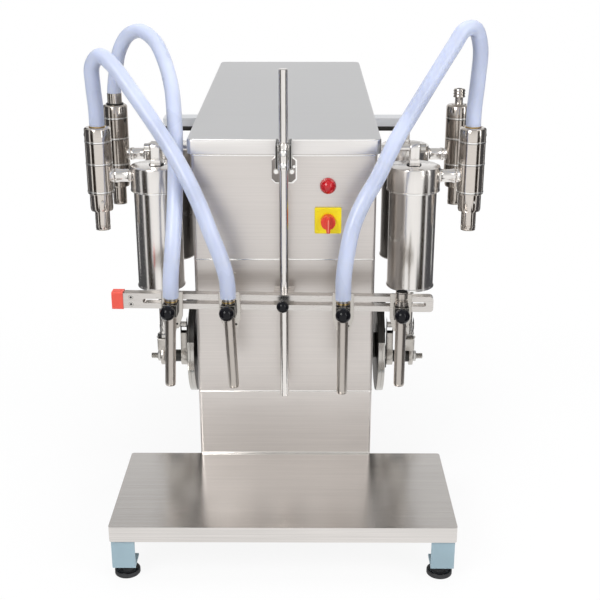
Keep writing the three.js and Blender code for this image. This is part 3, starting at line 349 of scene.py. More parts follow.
class Shape:
    """Gathers the closed solids of one piece, each with its own material."""

    def __init__(self, place=None):
        self.mesh = bmesh.new()
        self.materials = []
        self.place = place or Matrix.Identity(4)

    def paint(self, faces, material):
        if material not in self.materials:
            self.materials.append(material)
        index = self.materials.index(material)
        for face in faces:
            face.material_index = index

    def turned(self, profile, origin, axis, material, count=64):
        """A loop of (radius, height) corners turned about an axis, which it may touch."""
        origin, axis = Vector(origin), Vector(axis).normalized()
        across = axis.orthogonal().normalized()
        beside = axis.cross(across)
        half = math.pi / count
        rings = []
        for radius, height in profile:
            centre = origin + axis * height
            spokes = circle(radius, count, half, half + 2 * math.pi)[:-1] if radius > 1e-6 else [(0, 0)]
            rings.append([self.mesh.verts.new(centre + across * a + beside * u) for a, u in spokes])
        self.paint(bridge(self.mesh, rings), material)

    def prism(self, outline, origin, across, upward, depth, material, bevel, steps=2):
        """An outline of (across, upward) corners pushed out along their cross product by depth."""
        origin, across, upward = Vector(origin), Vector(across), Vector(upward)
        normal = across.cross(upward).normalized()
        flat = [origin + across * a + upward * u for a, u in outline]
        if sum(a[0] * b[1] - b[0] * a[1] for a, b in zip(outline, outline[1:] + outline[:1])) < 0:
            flat.reverse()
        low = [self.mesh.verts.new(p) for p in flat]
        high = [self.mesh.verts.new(p + normal * depth) for p in flat]
        faces = [self.mesh.faces.new(reversed(low)), self.mesh.faces.new(high)]
        for step in range(len(low)):
            after = (step + 1) % len(low)
            faces.append(self.mesh.faces.new((low[step], low[after], high[after], high[step])))
        self.paint(faces, material)
        for face in faces:
            face.normal_update()
        crisp = []
        for edge in dict.fromkeys(e for f in faces for e in f.edges):
            a, b = (f.normal for f in edge.link_faces)
            if a.angle(b, 0) > CRISP_ANGLE:
                crisp.append(edge)
        bmesh.ops.bevel(
            self.mesh, geom=crisp, offset=bevel, segments=steps,
            affect="EDGES", profile=0.5, clamp_overlap=True)

    def box(self, low, high, material, bevel, steps=2):
        (x0, y0, z0), (x1, y1, z1) = low, high
        outline = [(x0, y0), (x1, y0), (x1, y1), (x0, y1)]
        self.prism(outline, (0, 0, z0), RIGHT, BACKWARD, z1 - z0, material, bevel, steps)

    def ring(self, inner, outer, start, end, material, count=64, edge=0.4):
        """A collar from start to end with small chamfers, and a bore where inner isn't 0."""
        start, along = Vector(start), Vector(end) - Vector(start)
        length = along.length
        profile = [(inner, 0), (outer - edge, 0), (outer, edge), (outer, length - edge),
                   (outer - edge, length), (inner, length)]
        self.turned(profile, start, along, material, count)

    def rod(self, radius, start, end, material, count=48, edge=0.5):
        """A round bar from start to end with small chamfers."""
        self.ring(0, radius, start, end, material, count, edge)

    def nut(self, radius, height, origin, axis, material):
        """A hexagonal nut with chamfered corners."""
        start = Vector(origin)
        self.rod(radius, start, start + Vector(axis) * height, material, 6, radius * 0.09)

    def socket_screw(self, radius, height, origin, axis, material):
        """A cap screw head with a socket whose floor is a dark disc of painted shade."""
        socket, depth = radius * 0.48, height * 0.55
        profile = [(0, height - depth), (socket, height - depth), (socket, height),
                   (radius * 0.9, height), (radius, height - radius * 0.1), (radius, 0), (0, 0)]
        self.turned(profile, origin, axis, material, 48)
        floor = Vector(origin) + Vector(axis).normalized() * (height - depth + 0.05)
        disc = [(0, 0), (socket - 0.05, 0), (socket - 0.05, 0.2), (0, 0.2)]
        self.turned(disc, floor, axis, HOLE_SHADE, 6)

    def thread(self, radius, start, end, material, pitch=1.5):
        """A screw thread's ridges on a round bar."""
        start, along = Vector(start), Vector(end) - Vector(start)
        length = along.length
        count = max(1, int(length / pitch))
        root = radius - pitch * 0.45
        profile = [(0, 0), (root, 0)]
        for turn in range(count):
            profile += [(radius, (turn + 0.45) * length / count), (root, (turn + 0.95) * length / count)]
        profile += [(root, length), (0, length)]
        self.turned(profile, start, along, material, 32)

    def done(self, name, body, finish, *nodes):
        """Makes the piece, on its body, in place of the solids named."""
        self.mesh.transform(self.place)
        piece = make_piece(name, self.mesh, self.materials)
        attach(piece, body)
        if nodes:
            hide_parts(*nodes)


# Hoses: each follows the route of its CAD solid, in millimetres
HOSE_RADIUS = 14
HOSE_BORE = 9.5
HOSES = {
    "front_left": [
        (-348, -179.5, 720.3), (-348, -179.5, 752), (-350.5, -179.5, 796), (-349, -184.5, 832),
        (-332, -195.5, 851), (-310, -209.5, 839), (-265, -245.5, 788), (-217, -284.5, 728),
        (-180, -320.5, 678), (-149, -346.5, 622), (-127, -365.5, 571), (-108, -377.5, 524),
        (-98.8, -382.1, 488), (-97.5, -382.1, 456.6)],
    "rear_left": [
        (-348, 20.5, 730.3), (-348, 20.5, 756), (-342, 18.5, 796), (-331, 11.5, 838),
        (-311, 1.5, 868), (-284, -14.5, 878), (-255, -39.5, 863), (-234, -77.5, 836),
        (-213, -139.5, 793), (-199, -219.5, 736), (-193, -279.5, 679), (-191, -331.5, 607),
        (-193.5, -363.5, 543), (-197.2, -378.6, 490), (-198.6, -378.6, 456.6)],
    "front_right": [
        (348, -179.5, 720.3), (348, -179.5, 752), (352, -178.5, 806), (352.5, -182.5, 866),
        (340, -190.5, 898), (320, -202.5, 897), (299, -219.5, 870), (264, -246.5, 820),
        (229, -277.5, 770), (195, -308.5, 720), (161, -338.5, 658), (138, -355.5, 622),
        (120, -369.5, 582), (109, -382.5, 532), (104.2, -389.2, 492), (104.2, -389.2, 456.6)],
}
NOZZLE_STRETCH = 64
HOLDER_STRETCH = 185
HOSE_STEP = 6


def between(a, b, start, end, t):
    """The point on the line from a at start to b at end."""
    return a * ((end - t) / (end - start)) + b * ((t - start) / (end - start))


def centripetal(points, per_span=24):
    """A smooth line through the points."""
    stops = [Vector(p) for p in points]
    stops = [2 * stops[0] - stops[1], *stops, 2 * stops[-1] - stops[-2]]
    line = []
    for a, b, c, d in zip(stops, stops[1:], stops[2:], stops[3:]):
        knots = [0.0]
        for p, q in ((a, b), (b, c), (c, d)):
            knots.append(knots[-1] + math.sqrt((q - p).length))
        t0, t1, t2, t3 = knots
        for step in range(per_span):
            t = t1 + (t2 - t1) * step / per_span
            middle = between(b, c, t1, t2, t)
            early = between(between(a, b, t0, t1, t), middle, t0, t2, t)
            late = between(middle, between(c, d, t2, t3, t), t1, t3, t)
            line.append(between(early, late, t1, t2, t))
    line.append(stops[-2])
    return line


def spaced(line, start, end, step):
    """Points along the line from start to end of its length, about a step apart."""
    reach = [0.0]
    for a, b in zip(line, line[1:]):
        reach.append(reach[-1] + (b - a).length)
    count = max(2, round((end - start) / step))
    points = []
    index = 0
    for i in range(count + 1):
        want = start + (end - start) * i / count
        while index < len(reach) - 2 and reach[index + 1] < want:
            index += 1
        share = (want - reach[index]) / max(1e-9, reach[index + 1] - reach[index])
        points.append(line[index].lerp(line[index + 1], share))
    return points


def line_length(line):
    return sum((b - a).length for a, b in zip(line, line[1:]))


def ring_frames(points):
    """Two directions across the line at each point, without twist."""
    tangents = []
    for i in range(len(points)):
        before, after = points[max(0, i - 1)], points[min(len(points) - 1, i + 1)]
        tangents.append((after - before).normalized())
    across = tangents[0].orthogonal().normalized()
    frames = []
    for tangent in tangents:
        across = (across - tangent * across.dot(tangent)).normalized()
        frames.append((across, tangent.cross(across)))
    return frames


def hose_tube(name, points, frames, count=32):
    """A tube with a bore along the points."""
    mesh = bmesh.new()
    stations = list(zip(points, frames))
    rings = []
    for radius, order in ((HOSE_RADIUS, stations), (HOSE_BORE, reversed(stations))):
        for point, (across, beside) in order:
            rings.append([mesh.verts.new(point + across * a + beside * u)
                          for a, u in circle(radius, count)[:-1]])
    bridge(mesh, rings)
    piece = make_piece(name, mesh, [SILICONE], HOSE_SHARP_ANGLE)
    return piece


def make_hose(place):
    line = centripetal(HOSES[place])
    whole = line_length(line)
    ends = [0, whole - NOZZLE_STRETCH - HOLDER_STRETCH, whole - NOZZLE_STRETCH, whole]
    points = []
    cuts = [0]
    for start, end in zip(ends, ends[1:]):
        stretch = spaced(line, start, end, HOSE_STEP)
        points += stretch if not points else stretch[1:]
        cuts.append(len(points) - 1)
    frames = ring_frames(points)
    stretches = []
    for first, last, part in zip(cuts, cuts[1:], ("long", "rail", "end")):
        span = slice(first, last + 1)
        stretches.append((hose_tube(f"hose_{place}_{part}", points[span], frames[span]), points[span]))
    (upper, upper_line), (middle, middle_line), (end, end_line) = stretches
    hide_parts(f"hose_{place}")
    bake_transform(upper)
    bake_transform(middle)
    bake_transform(end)


for hose_place in HOSES:
    make_hose(hose_place)


# Product cylinders, their heads and valve chambers
def barrel(side, row):
    x, y = SIDES[side] * CYLINDER_X, ROWS[row]
    rise = BARREL_TOP - BARREL_BOTTOM
    profile = [(42, 0), (45, 0), (45.5, 0.5), (45.5, 3.5), (45, 4), (44.5, 4.5),
               (44.5, CAP_BOTTOM - BARREL_BOTTOM), (44.5, rise), (42, rise)]
    shape = Shape()
    # Rear barrels take the darker copy of the polished steel: painted shade
    shape.turned(profile, (x, y, BARREL_BOTTOM), UP, POLISHED if row == "front" else REAR_SHADE_STEEL, 128)
    # A bright ring at the barrel's foot: painted highlight
    shape.ring(44, 45.8, (x, y, BARREL_BOTTOM + 0.5), (x, y, BARREL_BOTTOM + 3.1), HIGHLIGHT_STEEL, 128)
    shape.done(f"barrel_{row}_{side}", "machine", "mirror_stainless", f"cylinder_barrel_{row}_{side}")


RING_DROPS = (120, 67, 26)
RING_HALF = 1.4


def valve_profile(top, bare):
    """The chamber's outline, going up; RING_DROPS are its joint rings below the top."""
    profile = [(0, 525), (12.4, 525), (13.4, 526), (14, 527.5), (14, 533), (13.2, 533.6), (13.2, 535)]
    profile += [(14, 535.6), (14, 561), (20.2, 562.3), (21.5, 566), (21.5, 595.4), (23.9, 595.6)]
    profile.append((24.5, 596.2))
    for drop in RING_DROPS:
        low, high = top - drop - RING_HALF - 0.5, top - drop + RING_HALF + 0.5
        profile += [(24.5, low - 0.3), (24.1, low), (24.1, high), (24.5, high + 0.3)]
    end = [(24.5, -3), (23.2, -1), (21.5, 0)]
    if bare:
        end += [(15, 0), (14, 1.5), (8.6, 1.5), (8, 2.5), (8, 14.4), (10, 15)]
        for base in (15, 20.6, 26.2):
            end += [(12, base + 0.5), (12, base + 1.5), (10.6, base + 5.2)]
        end += [(9, 32), (5.5, 32), (5.5, 20), (0, 20)]
    else:
        end += [(13.6, 0), (13.6, -0.6), (0, -0.6)]
    return profile + [(radius, top + height) for radius, height in end]


def eye(shape, x, y, low):
    """The hanging eye above a front cylinder's cap, with a washer on each face."""
    rise = EYE_Z - low
    outline = [(-13, 0), (13, 0)] + [(a, rise + u) for a, u in circle(13, 24, 0, math.pi)]
    shape.prism(outline, (x - 8.5, y, low), BACKWARD, UP, 17, POLISHED, 0.7)
    for face in (-1, 1):
        shape.ring(6.4, 10.5, (x + face * 8.5, y, EYE_Z), (x + face * 9.3, y, EYE_Z), FASTENER, 48, 0.3)


def head(side, row):
    """Cap, valve chamber with its rings and spigot, cross pipe, and the hanger above the cap."""
    sign = SIDES[side]
    x, y, vx = sign * CYLINDER_X, ROWS[row], sign * VALVE_X
    bare = side == "right" and row == "rear"
    bottom, top = CAP_BOTTOM, VALVE_TOPS[row]
    shape = Shape()
    shape.turned([
        (44.8, bottom), (48.9, bottom), (49.5, bottom + 0.8), (49.5, bottom + 1.6), (48.8, bottom + 2),
        (48.8, bottom + 3), (49.5, bottom + 3.6), (49.5, CAP_TOP - 2.6), (48.6, CAP_TOP - 0.8),
        (46.8, CAP_TOP), (0, CAP_TOP), (0, CAP_TOP - 8), (38, CAP_TOP - 8), (44.8, BARREL_TOP)],
        (x, y, 0), UP, POLISHED, 128)
    # A bright ring round the cap's foot: painted highlight
    shape.ring(47, 50.1, (x, y, bottom + 0.2), (x, y, bottom + 3), HIGHLIGHT_STEEL, 128, 0.3)
    # The rear chambers take the darker copy of the valve steel: painted shade
    chamber_steel = VALVE_STEEL if row == "front" else REAR_VALVE_SHADE_STEEL
    shape.turned(valve_profile(top, bare), (vx, y, 0), UP, chamber_steel, 96)
    # Each joint ring is a bright band of painted highlight, with a black band of painted shade under it
    for drop in RING_DROPS:
        low, high = top - drop - RING_HALF, top - drop + RING_HALF
        shape.ring(23, 25.1, (vx, y, low), (vx, y, high), HIGHLIGHT_STEEL, 96, 0.3)
        shape.ring(23, 24.7, (vx, y, low - 0.7), (vx, y, low), BLACKENED, 96, 0.1)
    if row == "front":
        shape.ring(11, 15.2, (vx, y, top), (vx, y, top + 2.2), BRASS, 64, 0.6)
    elif not bare:
        shape.ring(14.1, 14.7, (vx, y, top), (vx, y, top + 23), VALVE_STEEL, 64, 0.2)
        shape.ring(14.1, 17.5, (vx, y, top), (vx, y, top + 3), BLACKENED, 64, 0.5)
    shape.ring(5.5, 13.8, (vx, y, 524.6), (vx, y, 525.4), MACHINED, 64, 0.2)
    # A dark disc in the chamber's bore underneath: painted shade
    shape.turned([(0, 0), (9, 0), (9, 0.3), (0, 0.3)], (vx, y, 524.7), (0, 0, -1), HOLE_SHADE, 32)
    start = x + sign * 46
    length = abs(vx - sign * 20 - start)
    shape.turned([
        (0, 0), (14.4, 0), (14.4, 3.4), (12.6, 5.6), (12, 8), (12, length - 15), (13.2, length - 13),
        (13.2, length - 9), (12.2, length - 7.6), (12.4, length - 4), (15.5, length), (0, length)],
        (start, y, CAP_TOP - 20), (sign, 0, 0), POLISHED)
    pin_x = vx + sign * 23.5
    # A dark dot for a pin hole: painted shade
    shape.rod(2.6, (pin_x, y - 6, top - 13), (pin_x + sign * 0.6, y - 6, top - 13), HOLE_SHADE, 24, 0.1)
    shape.rod(2.2, (vx + 6, y - 24.6, 583), (vx + 6, y - 20, 583), FASTENER, 24, 0.3)
    shape.ring(3, 14, (x, y, CAP_TOP - 0.2), (x, y, CAP_TOP + 2.4), WASHER_BLACK, 48, 0.5)
    low = CAP_TOP + 1
    shape.box((x - 9.6, y - 14, low), (x + 9.6, y + 14, low + 11), POLISHED, 0.8)
    if row == "front":
        eye(shape, x, y, low)
    else:
        shape.box((x - 8.5, y - 13, low), (x + 8.5, y + 13, 678.4), POLISHED, 0.7)
        for shift in (-7, 7):
            shape.nut(4.2, 3, (x - sign * 8.4, y + shift, 667), (-sign, 0, 0), FASTENER)
    shape.done(f"head_{row}_{side}", "machine", "mirror_stainless", f"cylinder_head_{row}_{side}")


def piston_rod(side, row):
    x, y = SIDES[side] * CYLINDER_X, ROWS[row]
    shape = Shape()
    shape.rod(8, (x, y, 287.4), (x, y, 433), ROD_STEEL, 64)
    piston = [(0, 0), (41.2, 0), (41.65, 0.7), (41.65, 11), (39.65, 11), (39.65, 19), (41.65, 19),
              (41.65, 29.5), (41, 30), (0, 30)]
    shape.turned(piston, (x, y, PISTON_Z), UP, MACHINED, 96)
    seal = [(39.7, 11.3), (41.5, 12.1), (41.5, 17.9), (39.7, 18.7)]
    shape.turned(seal, (x, y, PISTON_Z), UP, RUBBER, 96)
    shape.nut(13, 8, (x, y, 304.3), UP, FASTENER)
    shape.thread(8.3, (x, y, 312.3), (x, y, 330), FASTENER)
    shape.done(f"piston_{row}_{side}", f"piston_pair_{side}", "turned_stainless", f"piston_rod_{row}_{side}")


for cylinder_side in SIDES:
    for cylinder_row in ROWS:
        barrel(cylinder_side, cylinder_row)
        head(cylinder_side, cylinder_row)
        piston_rod(cylinder_side, cylinder_row)


# Hanger shaft through the front eyes
def hanger_shaft():
    shape = Shape()
    y, z = ROWS["front"], EYE_Z
    shape.rod(6, (-256.5, y, z), (256.5, y, z), ROD_STEEL)
    for sign in (-1, 1):
        end = sign * 256.5
        shape.ring(5, 8.5, (sign * 251, y, z), (sign * 262, y, z), FASTENER, 48, 0.8)
        dome = [(0, 0), (6.1, 0), (5.2, 1.2), (0, 1.6)]
        shape.turned(dome, (end - sign * 0.1, y, z), (sign, 0, 0), FASTENER, 32)
        # A dark dot for a cross hole in the shaft's end: painted shade
        shape.rod(1.6, (end, y - 8.4, z), (end, y - 6.9, z), HOLE_SHADE, 16, 0.2)
    shape.done("hanger_rod", "machine", "turned_stainless", "hanger_shaft")


hanger_shaft()


# Crank drive
DISC_RADIUS = 94.9
SLOT_HALF = 9
# Height above which the disc's faces are painted black as shade
SHADE_PAINTED_ABOVE = CRANK_Z + 40


def crank_point(sign, out, z, shift=0):
    """A point of one side's drive, so far out from the machine's middle."""
    return sign * out, CRANK_Y + shift, z


def crank_span(sign, start, end, z):
    """Both ends of a bar of one side's drive."""
    return crank_point(sign, start, z), crank_point(sign, end, z)


def crank_disc(side):
    """A polished disc with a slot for the stroke block, its top segment black as painted shade."""
    sign = SIDES[side]
    out = (sign, 0, 0)
    inner = crank_point(sign, 184, CRANK_Z)
    shape = Shape()
    plate = [(15.4, 6), (15.4, 0), (94, 0), (95, 0.8), (95, 7.5), (0, 7.5), (0, 6)]
    shape.turned(plate, inner, out, DISC_STEEL, 128)
    # A black sheet on the disc's inner face: painted shade in the gap to the cabinet
    cover = [(15.8, -0.2), (93.6, -0.2), (93.6, 0.2), (15.8, 0.2)]
    shape.turned(cover, inner, out, BLACKENED, 96)
    reach = math.pi / 2 - math.asin(SLOT_HALF / DISC_RADIUS)
    for turn in (1, -1):
        outline = [(turn * a, u) for a, u in circle(DISC_RADIUS, 64, -reach, reach)]
        shape.prism(outline, crank_point(sign, 191.5, CRANK_Z), BACKWARD, (0, 0, sign), 6.5, DISC_STEEL, 0.7)
        for angle in (-50, 0, 50):
            along, rise = 62 * math.cos(math.radians(angle)), 62 * math.sin(math.radians(angle))
            shape.socket_screw(5, 3.2, crank_point(sign, 198, CRANK_Z + rise, turn * along), out, FASTENER)
    # The disc's faces above that height are black: painted shade
    shape.paint([f for f in shape.mesh.faces if f.calc_center_median().z > SHADE_PAINTED_ABOVE], BLACKENED)
    x0, x1 = side_span(sign, 190.5, 203)
    shape.box((x0, CRANK_Y - 10, 331), (x1, CRANK_Y + 10, 343), BLACKENED, 1)
    shape.thread(2.8, crank_point(sign, 199, 155), crank_point(sign, 199, 332), FASTENER)
    shape.socket_screw(7, 8, crank_point(sign, 199, 343), UP, BLACKENED)
    shape.done(f"disc_{side}", "crank", "polished_stainless", f"crank_disc_{side}")


def stroke_block(side):
    """A block in the disc's slot behind a wider face plate with four screws."""
    sign = SIDES[side]
    shape = Shape()
    for near, far, width, half in ((191.8, 200, 8.7, 15), (198.3, 202.4, 17, 20)):
        x0, x1 = side_span(sign, near, far)
        for turn in (-1, 1):
            y0, y1 = side_span(turn, 3.1, width)
            shape.box((x0, CRANK_Y + y0, STUD_Z - half), (x1, CRANK_Y + y1, STUD_Z + half), BLACKENED, 0.6)
    plate = mirrored([(17, -20), (17, 20)])
    shape.prism(plate, crank_point(sign, 202.2, STUD_Z), (0, sign, 0), UP, 4.5, BLACKENED, 1)
    for a, u in CORNERS:
        place = crank_point(sign, 206.4, STUD_Z + 13 * u, 11 * a)
        shape.socket_screw(2.6, 0.25, place, (sign, 0, 0), FASTENER)
    shape.done(f"stroke_slider_{side}", f"stroke_block_{side}", "blackened_iron", f"stroke_adjuster_{side}")


def link_outline():
    """A large lower eye, a waisted shank and a small upper eye, as (across, upward) corners."""
    length = CROSS_PIN_Z - STUD_Z
    right = circle(19, 20, -math.pi / 2, math.radians(48))
    right += [(8.5, 24), (8.5, length - 16)]
    right += circle(14, 16, math.radians(-38), math.pi / 2)
    return right + [(-a, u) for a, u in reversed(right)][1:-1]


def connecting_rod(side):
    """Two link plates, the spacer between them, and the stud with its washer and nut."""
    sign = SIDES[side]
    shape = Shape()
    for start, thickness in ((207, 13), (254, 8)):
        foot = crank_point(sign, start, STUD_Z)
        shape.prism(link_outline(), foot, (0, sign, 0), UP, thickness, MACHINED, 0.9)
    shape.ring(6.4, 11.5, *crank_span(sign, 262, 262.6, CROSS_PIN_Z), FASTENER)
    shape.rod(6, *crank_span(sign, 207.2, 271, STUD_Z), FASTENER)
    shape.thread(6, *crank_span(sign, 269, 283, STUD_Z), FASTENER)
    shape.ring(6.2, 12, *crank_span(sign, 262, 263.4, STUD_Z), FASTENER)
    shape.nut(11, 6.2, crank_point(sign, 263.3, STUD_Z), (sign, 0, 0), FASTENER)
    shape.ring(7, 12.5, *crank_span(sign, 220, 254, STUD_Z), BLACKENED)
    shape.done(f"link_pair_{side}", f"link_{side}", "turned_stainless", f"connecting_rod_{side}")


def crosshead(side):
    sign = SIDES[side]
    shape = Shape()
    x0, x1 = side_span(sign, 229, 253)
    shape.box((x0, ROWS["front"] - 15, 280), (x1, ROWS["rear"] + 15, 304), MACHINED, 1.2, 3)
    shape.rod(6, *crank_span(sign, 207.4, 262, CROSS_PIN_Z), FASTENER)
    for y in ROWS.values():
        shape.ring(8.3, 15, (sign * CYLINDER_X, y, 303.6), (sign * CYLINDER_X, y, 304.25), FASTENER)
        shape.socket_screw(3.4, 0.8, (sign * 252.8, y, CROSS_PIN_Z), (sign, 0, 0), FASTENER)
    shape.done(f"crossbar_{side}", f"piston_pair_{side}", "turned_stainless", f"crosshead_{side}")


def shaft_bearing(side):
    sign = SIDES[side]
    out = (sign, 0, 0)
    wall = crank_point(sign, CABINET_HALF + 0.3, CRANK_Z)
    shape = Shape()
    shape.prism(rounded_square(37.7, 9.7, 8), wall, (0, sign, 0), UP, 8, BLACKENED, 1)
    collar = [(15.4, 8), (15.4, 18.4), (25.6, 18.4), (27, 16.8), (27, 8)]
    shape.turned(collar, wall, out, BLACKENED)
    for a, u in CORNERS:
        shape.nut(6, 4, crank_point(sign, 173.2, CRANK_Z + 27 * u, 27 * a), out, BLACKENED)
    shape.done(f"bearing_{side}", "machine", "blackened_iron", f"shaft_bearing_{side}")


for drive_side in SIDES:
    crank_disc(drive_side)
    stroke_block(drive_side)
    connecting_rod(drive_side)
    crosshead(drive_side)
    shaft_bearing(drive_side)


# Clamp bracket of the vertical rod, and the rod
def eight_corners(half, low, high, cut):
    """The outline of a plate with cut corners."""
    return mirrored([(half - cut, low), (half, low + cut), (half, high - cut), (half - cut, high)])


def clamp_bracket():
    """Backing plate with a bright edge, a round-fronted clamp bar between two dark cheeks, and its screws;
    the edge, nuts and screw domes are bright as painted highlight.
    """
    shape = Shape()
    # A brighter plate behind the backing plate, showing as its edge: painted highlight
    shape.prism(eight_corners(22.6, 640, 688.5, 7), (0.4, FRONT - 0.3, 0), RIGHT, UP, 2.6, HIGHLIGHT_STEEL, 0.5)
    plate = eight_corners(21.6, 642, 688.4, 7)
    shape.prism(plate, (-0.8, FRONT - 1, 0), RIGHT, UP, 3.3, PLATE_STEEL, 0.6)
    z0, z1 = 676, 721
    front, back = ROD_Y - 17, FRONT - 4
    bar = [(9.6, front + 8.4), (-9.6, front + 8.4)]
    for step in range(13):
        across = -9.6 + 19.2 * step / 12
        bar.append((across, front + 5 * (across / 9.6) ** 2))
    shape.prism(bar, (0, 0, z0), RIGHT, BACKWARD, z1 - z0, ROD_STEEL, 0.4)
    shape.box((-8.5, ROD_Y + 8.4, z0), (8.5, back + 0.4, z1), MACHINED, 0.5)
    for turn in (-1, 1):
        x0, x1 = side_span(turn, 9.7, 14)
        shape.box((x0, front + 4, z0 + 2), (x1, back + 0.4, z1 - 1), BLACKENED, 0.4)
        shape.nut(4.6, 3.4, (turn * 13.8, FRONT - 4.2, 662), FORWARD, HIGHLIGHT_STEEL)
        shape.ring(3, 5.6, (turn * 13.8, FRONT - 4.1, 662), (turn * 13.8, FRONT - 4.8, 662), MACHINED)
    shape.nut(3.2, 2.6, (17.8, FRONT - 4.2, 671), FORWARD, HIGHLIGHT_STEEL)
    dome = [(0, 0), (6.3, 0), (6.3, 1.4), (5.7, 2.8), (4.2, 4.1), (2, 4.8), (0, 5)]
    for z in (685, 706.5):
        shape.turned(dome, (0, front + 0.1, z), FORWARD, HIGHLIGHT_STEEL, 48)
    shape.done("rod_clamp", "machine", "turned_stainless", "rod_clamp_bracket")


def rail_matrix():
    """Places along the rail, which is turned a little round the rod."""
    return Matrix.Translation((0, ROD_Y, 0)) @ Matrix.Rotation(RAIL_TURN, 4, "Z")


def vertical_rod():
    shape = Shape(rail_matrix())
    shape.rod(8, (0, 0, 248), (0, 0, 846), ROD_STEEL, 96, 1.2)
    shape.done("vertical_rod", "carriage", "polished_stainless", "rail_rod")


def rail_details():
    shape = Shape(rail_matrix())
    for z in (447.5, 434.5):
        shape.socket_screw(4.5, 0.25, (-272, -30, z), FORWARD, FASTENER)
    shape.nut(5, 3.5, (0, 19.9, SLOT_Z), BACKWARD, FASTENER)
    shape.done("rail_screws", "carriage", "turned_stainless")


# How far in front of the rod the nozzles' axes lie
NOZZLE_Y = -51
# Half the angle of the ball's flat front, as seen from its centre
BALL_FLAT = 0.24


def ball_knob(shape, radius, centre, neck):
    """A ball with a small flat front face, on a neck of (radius, depth) corners."""
    front, rim = radius * math.cos(BALL_FLAT), radius * math.sin(BALL_FLAT)
    profile = [(max(0.0, r), h) for r, h in circle(radius, 24, -math.pi / 2, math.pi / 2) if h < front]
    profile += [(rim, front), (rim - 0.6, front + 0.1), (0, front + 0.1)]
    shape.turned(profile, centre, FORWARD, BLACK_PLASTIC)
    shape.turned(neck, centre, BACKWARD, BLACK_PLASTIC, 48)


def rail_knob():
    shape = Shape(rail_matrix())
    neck = [(0, 0), (5, 0), (6.5, 2.5), (6.5, 18), (5.9, 20.7), (0, 20.7)]
    ball_knob(shape, 11, (0, NOZZLE_Y, SLOT_Z), neck)
    shape.rod(3.5, (0, -32, SLOT_Z), (0, -8.4, SLOT_Z), FASTENER, 32)
    shape.done("rail_lock_knob", "rail_clamp", "black_plastic", "rail_knob")


clamp_bracket()
vertical_rod()
rail_details()
rail_knob()


# Nozzle holders, tubes and ball knobs: each one's place along the rail, its lean in degrees,
# the height of its tip, and whether it has an open hose socket
NOZZLES = {
    "outer_left": (-197.6, 2.4, 288.5, False),
    "inner_left": (-95.2, -2.35, 287, False),
    "inner_right": (106, 0, 278, False),
    "outer_right": (207.6, 0, 295, True),
}
BLOCK_LOW, BLOCK_HIGH = SLOT_Z - 17, SLOT_Z + 5
KNOB_Z = SLOT_Z - 2
BALL = 13.3


def leaning(along, lean):
    return (rail_matrix() @ Matrix.Translation((along, 0, SLOT_Z))
            @ Matrix.Rotation(math.radians(lean), 4, "Y") @ Matrix.Translation((0, 0, -SLOT_Z)))


def clamp_half(turn):
    """One half of a holder's clamp block, hollowed round the tube."""
    outline = [(turn * 9.9, -36), (turn * 13, -36), (turn * 13, -66), (turn * 3.9, -66), (turn * 3.9, -60.8)]
    for a, u in circle(9.9, 8, math.radians(68), 0):
        outline.append((turn * a, NOZZLE_Y - u))
    return outline


def nozzle_holder(name, place):
    top, shoulder, foot = SLOT_Z + 21, SLOT_Z - 25, SLOT_Z - 49
    holder = Shape(place)
    outline = mirrored([(12, foot), (19, shoulder), (19, top - 2), (17, top)])
    holder.prism(outline, (0, -30.3, 0), RIGHT, UP, 5.7, MACHINED, 0.8)
    height = BLOCK_HIGH - BLOCK_LOW
    for turn in (-1, 1):
        holder.prism(clamp_half(turn), (0, 0, BLOCK_LOW), RIGHT, BACKWARD, height, BLACKENED, 0.5)
    holder.box((-13, -41, BLOCK_LOW), (13, -35.8, BLOCK_HIGH), BLACKENED, 0.5)
    holder.ring(3.9, 8.2, (0, -65.6, KNOB_Z), (0, -66, KNOB_Z), FASTENER)
    holder.rod(3.6, (0, -30.5, SLOT_Z), (0, -11.5, SLOT_Z), FASTENER, 32)
    holder.box((-14, -11.7, SLOT_Z - 12), (14, -6, SLOT_Z + 12), MACHINED, 0.8)
    # A dark dot for a hole in the plate: painted shade
    holder.rod(2.1, (9.5, -35.9, foot + 9), (9.5, -36.1, foot + 9), HOLE_SHADE, 24, 0.05)
    holder.done(f"holder_plate_{name}", f"holder_{name}", "turned_stainless", f"nozzle_holder_{name}")


def nozzle_tube(name, place, tip, socket):
    """The tube, with an open hose socket or with the brass ring under a hose's end."""
    seat = BLOCK_HIGH + 0.3
    foot, low = (0, NOZZLE_Y, seat), tip - seat
    tube = Shape(place)
    profile = [(7, low), (8.6, low), (9.2, low + 1), (9.5, low + 6), (9.5, 0), (10.6, 0), (11, 0.5),
               (11, 6.2), (10.3, 6.8), (10.3, 7.8), (11, 8.4), (11, 9.6)]
    if socket:
        profile += [(10.4, 10), (8, 10), (8, 13), (9.8, 13), (10.5, 13.7), (10.5, 25.3), (9.9, 26),
                    (7.2, 26), (7, 25)]
        rim = [(7, 21.4), (9.7, 21.5), (10.45, 22.3), (10.55, 24.8), (9.9, 26), (7, 26)]
    else:
        profile += [(10.6, 10), (7, 10)]
    tube.turned(profile, foot, UP, NOZZLE_STEEL, 96)
    if socket:
        tube.turned(rim, foot, UP, WASHER_BLACK)
    else:
        tube.ring(9.6, 11.3, (0, NOZZLE_Y, seat + 2), (0, NOZZLE_Y, seat + 5), BRASS)
    tube.done(f"nozzle_pipe_{name}", f"nozzle_{name}", "polished_stainless", f"nozzle_tube_{name}")


def nozzle_knob(name, place):
    knob = Shape(place)
    neck = [(0, 0), (5.4, 0), (6.5, 6), (6.5, 17), (6.1, 19.5), (0, 19.5)]
    ball_knob(knob, BALL, (0, -72.5 - BALL, KNOB_Z), neck)
    knob.thread(3.5, (0, -67, KNOB_Z), (0, -63, KNOB_Z), FASTENER)
    knob.done(f"clamp_ball_{name}", f"knob_{name}", "black_plastic", f"nozzle_knob_{name}")


